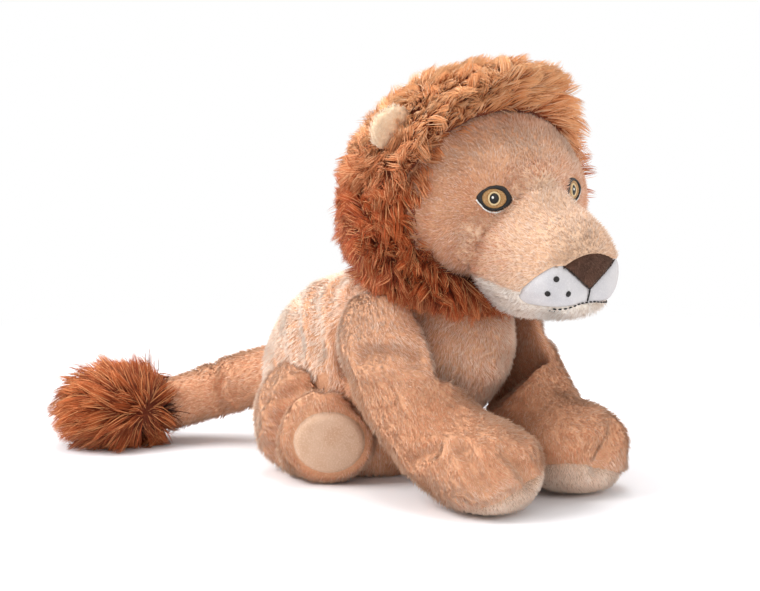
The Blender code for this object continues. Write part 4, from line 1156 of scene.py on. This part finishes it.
# The spots on the pads; the left ones lie further out and back
whiskers = {"radius": 0.00155, "height": 0.0009, "apart": {"left": 0.0040, "right": 0.0},
            "back": {"left": 0.0080, "right": 0.0},
            "spots": [(0.0232, -0.1378, 0.1281), (0.0248, -0.1346, 0.1214), (0.0172, -0.1397, 0.1203)]}
dot = np.stack([np.cos(turns), np.sin(turns)], 1)[::3] * whiskers["radius"]
for side, sign in sides.items():
    pad = skins[f"whisker_pad_{side}"]
    for number, (x, y, z) in enumerate(whiskers["spots"]):
        spot = Vector((sign * (x + whiskers["apart"][side]), y + whiskers["back"][side], z))
        place, normal, _, _ = pad.tree().find_nearest(spot)
        label = f"whisker_dot_{side}_{number + 1}"
        embroider(f"{label}_thread", pad, (place, normal, (0, 0, 1)), None, dot, whiskers["height"],
                  replaced=[label], rings=3)


def mouthAt(x):
    across = abs(x) / muzzleCut["mouthReach"]
    return muzzleCut["mouthZ"] - muzzleCut["mouthDrop"] * across ** muzzleCut["mouthBend"]


across = [-0.0200, -0.0185, -0.0165, -0.0130, -0.0090, -0.0045, 0.0]
across += [-x for x in across[-2::-1]]
lips = [(x, -0.1410 + 18 * x * x, mouthAt(x) + 0.0012) for x in across]
corner = [(-0.0196, -0.1305, mouthAt(0.0196) + 0.0008), (-0.0175, -0.1345, mouthAt(0.0175) - 0.0004)]
middle = [(0.0, -0.143, muzzleCut["noseTip"] + 0.0002), (-0.0016, -0.142, mouthAt(0) + 0.0012)]
stitchRow("mouth_thread", outer, lips, 0.0022, 0.0007, 0.00048, 0.0005, ["mouth_stitch"], 0.07)
stitchRow("mouth_end_thread", outer, corner, 0.0022, -0.0002, 0.00036, 0.0006, loose=0.2)
stitchRow("lip_thread", outer, middle, 0.0030, -0.0009, 0.00046, 0.0003, ["lip_stitch"])
for side, sign in sides.items():
    wide, high = muzzleCut["noseCorner"]
    edge = [(sign * wide, -0.1385, high - 0.0002), (0, -0.142, muzzleCut["noseTip"] - 0.0002)]
    stitchRow(f"nose_edge_{side}_thread", outer, edge, 0.0026, -0.0005, 0.00034, 0.0001)

print("lion: growing the pile")
shortPile = {"perArea": 1050000, "length": 0.0040, "width": 0.00038, "uneven": 0.3, "lift": 33,
             "liftSpread": 13, "swirl": 0.03, "stray": 0.42, "rings": 2, "perClump": 7, "clumpSpread": 0.6,
             "clump": 0.28, "curl": 0.1, "sag": 0.1, "faceOut": 0.8}
facePile = {**shortPile, "length": 0.0034, "perArea": 1200000, "width": 0.00036, "stray": 0.36}
velourPile = {**shortPile, "length": 0.0016, "perArea": 2600000, "width": 0.00034, "lift": 55}
earPile = {**shortPile, "length": 0.0028, "perArea": 1200000, "width": 0.00036}
longPile = {"perArea": 950000, "length": 0.0138, "width": 0.00055, "uneven": 0.25, "lift": 30, "liftSpread": 9,
            "swirl": 0.03, "stray": 0.37, "rings": 4, "perClump": 20, "clumpSpread": 0.35, "clump": 0.82,
            "curl": 0.07, "sag": 0.12, "faceOut": 0.55}
tuftPile = {**longPile, "length": 0.020, "perArea": 900000, "lift": 24, "perClump": 22, "width": 0.0006}
faceMiddle = np.array([0.0, -0.075, 0.160])
noseTip = np.array([0.0, -0.146, 0.130])
tuftRoot = np.array([-0.067, 0.138, 0.024])
fringe = {"frontY": -0.0785, "lowZ": 0.112}


def fixedComb(x, y, z):
    return lambda points, normals: np.tile(np.array([x, y, z], float), (len(points), 1))


def maneComb(points, normals):
    # Away from the face all round, forward at the brow and back at the nape
    out = points - faceMiddle
    out[:, 1] = 0
    way = unit(out)
    farSide = ease(0.02, 0.06, points[:, 0])
    way[:, 1] = (-0.75 + 1.6 * ease(-0.080, -0.010, points[:, 1])) * (1 - farSide) + farSide * 0.9
    return way


def faceComb(points, normals):
    return unit(points - noseTip)


def tuftComb(points, normals):
    return unit(points - tuftRoot)


def aroundEyes(points):
    # No pile on the embroidery
    share = np.ones(len(points))
    spots = lidOutline(0.0004)
    for side, sign in sides.items():
        turn = math.radians(eye["turn"])
        off = points - eyePlace(sign)
        outward = off[:, 0] * math.cos(turn) * sign + off[:, 1] * math.sin(turn)
        reach = np.interp(np.arctan2(off[:, 2], outward) % (2 * math.pi), turns, np.hypot(*spots.T))
        share[(np.hypot(outward, off[:, 2]) < reach) & (points[:, 1] < -0.08)] = 0
    return share


def underFringe(points):
    # The mane's pile is also sewn to the edge of the head, in front of its own form
    edge = points[:, 1] - fringe["frontY"] + wander(points, 0.02, 71)[:, 0] * 0.0012
    return ((edge > 0) & (points[:, 2] > fringe["lowZ"])).astype(float)


def bareFace(points):
    return aroundEyes(points) * (points[:, 1] < fringe["frontY"] + 0.003)


def creamOn(points):
    # The cream bridge runs up between the eyes
    limit = np.interp(points[:, 2], [0.120, 0.129, 0.1447, 0.1533, 0.1588, 0.1647, 0.1709, 0.1765, 0.180],
                      [0.0345, 0.0341, 0.0337, 0.0300, 0.0263, 0.0205, 0.0110, 0.0030, -0.0040])
    return (1 - ease(-0.0025, 0.0025, np.abs(points[:, 0]) - limit)) * (points[:, 1] < -0.085)


def footPale(points):
    return (0.15 * (1 - ease(-0.004, 0.022, points[:, 1])) * (1 - ease(0.052, 0.062, points[:, 2]))
            + 0.4 * ease(0.022, 0.040, points[:, 1]))


def pawPale(points):
    return (0.45 * (1 - ease(0.014, 0.030, points[:, 2])) * (1 - ease(-0.100, -0.080, points[:, 1]))
            + 0.5 * ease(0.062, 0.085, points[:, 2]))


def torsoLitPale(points):
    # Painted light: paler at the rump and flank, lit from behind, and partly paler at the chest, to lift its
    # shade
    return 0.55 * (1 - ease(-0.045, -0.020, points[:, 1])) + ease(-0.014, 0.016, points[:, 1])


def facePale(points):
    # The cream bridge, and a forehead painted paler towards its top, where the light from above falls (painted
    # light)
    return np.maximum(creamOn(points), 0.7 * ease(0.170, 0.192, points[:, 2]))


def shortByEars(points):
    # Short pile in front of the ears, so that they show
    share = np.ones(len(points))
    for side in sides:
        away = points - ears[side].points.mean(0) - (0, -0.006, 0.007)
        share = np.minimum(share, 0.42 + 0.58 * ease(0.010, 0.017, np.linalg.norm(away, axis=1)))
    return share


def maneLitTop(points):
    # Painted light: paler towards the top of the mane, where the light from above falls
    return ease(0.158, 0.220, points[:, 2])


def lessAt(paths, share, width):
    # Shorter pile along creases, which lets them show
    def lengthShare(points):
        gap = np.min([gapTo(points, path) for path in paths], axis=0)
        return 1 - (1 - share) * np.exp(-(gap / width) ** 2)
    return lengthShare


def onSkin(edgeOf, side, least):
    # Pile only outside a sole's seam
    return lambda points: (edgeOf(points, side) > least).astype(float)


def offFloor(points):
    return (points[:, 2] > 0.0035).astype(float)


growPile("mane_pile", mane, longPile, "manePile", "head", maneComb, 11, lengthShare=shortByEars,
         away=[head, torso], over=[head, torso], pale=maneLitTop)
growPile("mane_fringe", head, {**longPile, "length": 0.0125}, "manePile", "head", maneComb, 23,
         share=underFringe, away=[mane, torso, muzzle], over=[torso], pale=maneLitTop)
growPile("tuft_pile", tuft, tuftPile, "tuftPile", "tail", tuftComb, 12)
growPile("torso_pile", torso, shortPile, "tanPile", "torso", fixedComb(0, 0.4, -1), 13,
         away=[*limbs, tail], pale=torsoLitPale)
growPile("head_pile", head, facePile, "headPile", "head", faceComb, 14, share=bareFace,
         away=[mane, outer], pale=facePale)
growPile("bridge_pile", skins["muzzle_bridge"], facePile, "headPile", "head", faceComb, 18,
         share=aroundEyes, pale=creamOn)
growPile("chin_pile", skins["chin"], facePile, "palePile", "head", faceComb, 19, away=[head])
growPile("tail_pile", tail, shortPile, "tanPile", "tail", fixedComb(-1, 0.3, -0.1), 15,
         away=[tuft, torso])
growPile("nose_pile", skins["nose"], velourPile, "nosePile", "head", fixedComb(0, 0, -1), 20)
for side in sides:
    foreFolds = [mirrored(path, side) for path in [*paws["toes"], paws["elbow"], paws["wrist"]]]
    growPile(f"foreleg_{side}_pile", legs["fore", side], shortPile, "tanPile", f"foreleg_{side}",
             fixedComb(0, -0.8, -0.6), 16, share=onSkin(foreSole, side, 0.0004),
             lengthShare=lessAt(foreFolds, 0.45, 0.004), away=[torso], pale=pawPale)
    growPile(f"hindleg_{side}_pile", legs["hind", side], shortPile, "tanPile", f"hindleg_{side}",
             fixedComb(0, -0.8, -0.6), 17, share=onSkin(hindSole, side, 0.02),
             lengthShare=lessAt([mirrored(feet["ring"], side)], 0.5, 0.0045), away=[torso], pale=footPale)
    # The soles' pile is painted near white for the light thrown up from the floor
    growPile(f"forepaw_{side}_sole_pile", soles["fore", side], {**velourPile, "length": 0.0020}, "solePile",
             f"foreleg_{side}", fixedComb(0, -0.5, -0.8), 24, share=offFloor,
             away=[legs["fore", side]])
    growPile(f"ear_{side}_pile", ears[side], earPile, "earPile", f"ear_{side}",
             fixedComb(0, 0, 1), 22, away=[head])

print("lion: setting up the studio")
studio = {"target": (-0.022, -0.006, 0.105), "azimuth": -44.0, "height": 8.5, "distance": 1.3, "lens": 110.0,
          "world": 0.72, "whiteFrom": 0.32, "whiteTo": 0.62, "lampTarget": (0, 0, 0.1)}
# Each lamp's place, size and power
lamps = {"key": ((-1.6, 0.9, 1.7), 1.4, 50.0), "fill": ((0.3, -2.2, 1.2), 1.6, 14.0),
         "top": ((0.2, 0.2, 2.2), 1.6, 26.0)}


def aim(thing, place, way):
    thing.location = place
    thing.rotation_mode = "QUATERNION"
    thing.rotation_quaternion = way.to_track_quat("-Z", "Y")


def placeCamera():
    azimuth, height = math.radians(studio["azimuth"]), math.radians(studio["height"])
    flat = math.cos(height)
    back = Vector((math.sin(azimuth) * flat, -math.cos(azimuth) * flat, math.sin(height)))
    camera = placed("camera", bpy.data.cameras.new("camera"))
    camera.data.lens = studio["lens"]
    camera.data.sensor_width = 36.0
    camera.data.clip_end = 100.0
    aim(camera, Vector(studio["target"]) + back * studio["distance"], -back)
    bpy.context.scene.camera = camera


def addLamp(name, place, size, power):
    lamp = bpy.data.lights.new(name, "AREA")
    lamp.shape = "DISK"
    lamp.size = size
    lamp.energy = power
    aim(placed(name, lamp), place, Vector(studio["lampTarget"]) - Vector(place))


def seenWhite(wire):
    # 1 where the camera, a reflection or a clear piece looks straight at it
    path = wire.node("ShaderNodeLightPath")
    seen = path
    for output in ("Is Glossy Ray", "Is Transmission Ray"):
        seen = wire.maths("MAXIMUM", seen, Wire(wire.tree, path.socket.node.outputs[output]))
    return seen


def makeWorld():
    world = bpy.data.worlds.new("studio")
    bpy.context.scene.world = world
    world.use_nodes = True
    wire = Wire(world.node_tree)
    background = world.node_tree.nodes["Background"]
    background.inputs["Color"].default_value = (1, 1, 1, 1)
    strength = seenWhite(wire) * (1 - studio["world"]) + studio["world"]
    world.node_tree.links.new(strength.socket, background.inputs["Strength"])


def makeFloor():
    mesh = bpy.data.meshes.new("floor")
    mesh.from_pydata([(-30, -30, 0), (30, -30, 0), (30, 30, 0), (-30, 30, 0)], [], [(0, 1, 2, 3)])
    floor = placed("floor", mesh)
    material, shader, wire = newMaterial("floor", {"Base Color": (0.9, 0.9, 0.92, 1), "Roughness": 1.0,
                                                   "Specular IOR Level": 0.0})
    # Further out it fades into the white of the background
    place = wire.node("ShaderNodeTexCoord", output=3)
    flat = place.node("ShaderNodeVectorMath", {"operation": "MULTIPLY"}, {0: place, 1: (1, 1, 0)})
    away = place.node("ShaderNodeVectorMath", {"operation": "LENGTH"}, {0: flat}, 1)
    glow = wire.node("ShaderNodeEmission", None, {"Color": (1, 1, 1, 1), "Strength": 1.0})
    far = away.band(studio["whiteFrom"], studio["whiteTo"])
    mixed = wire.node("ShaderNodeMixShader", None, {0: far, 1: Wire(wire.tree, shader.outputs[0]), 2: glow})
    wire.tree.links.new(mixed.socket, material.node_tree.nodes["Material Output"].inputs["Surface"])
    mesh.materials.append(material)


placeCamera()
for name, (place, size, power) in lamps.items():
    addLamp(name, place, size, power)
makeWorld()
makeFloor()
bpy.context.scene.view_settings.view_transform = "Standard"

print("lion: done")
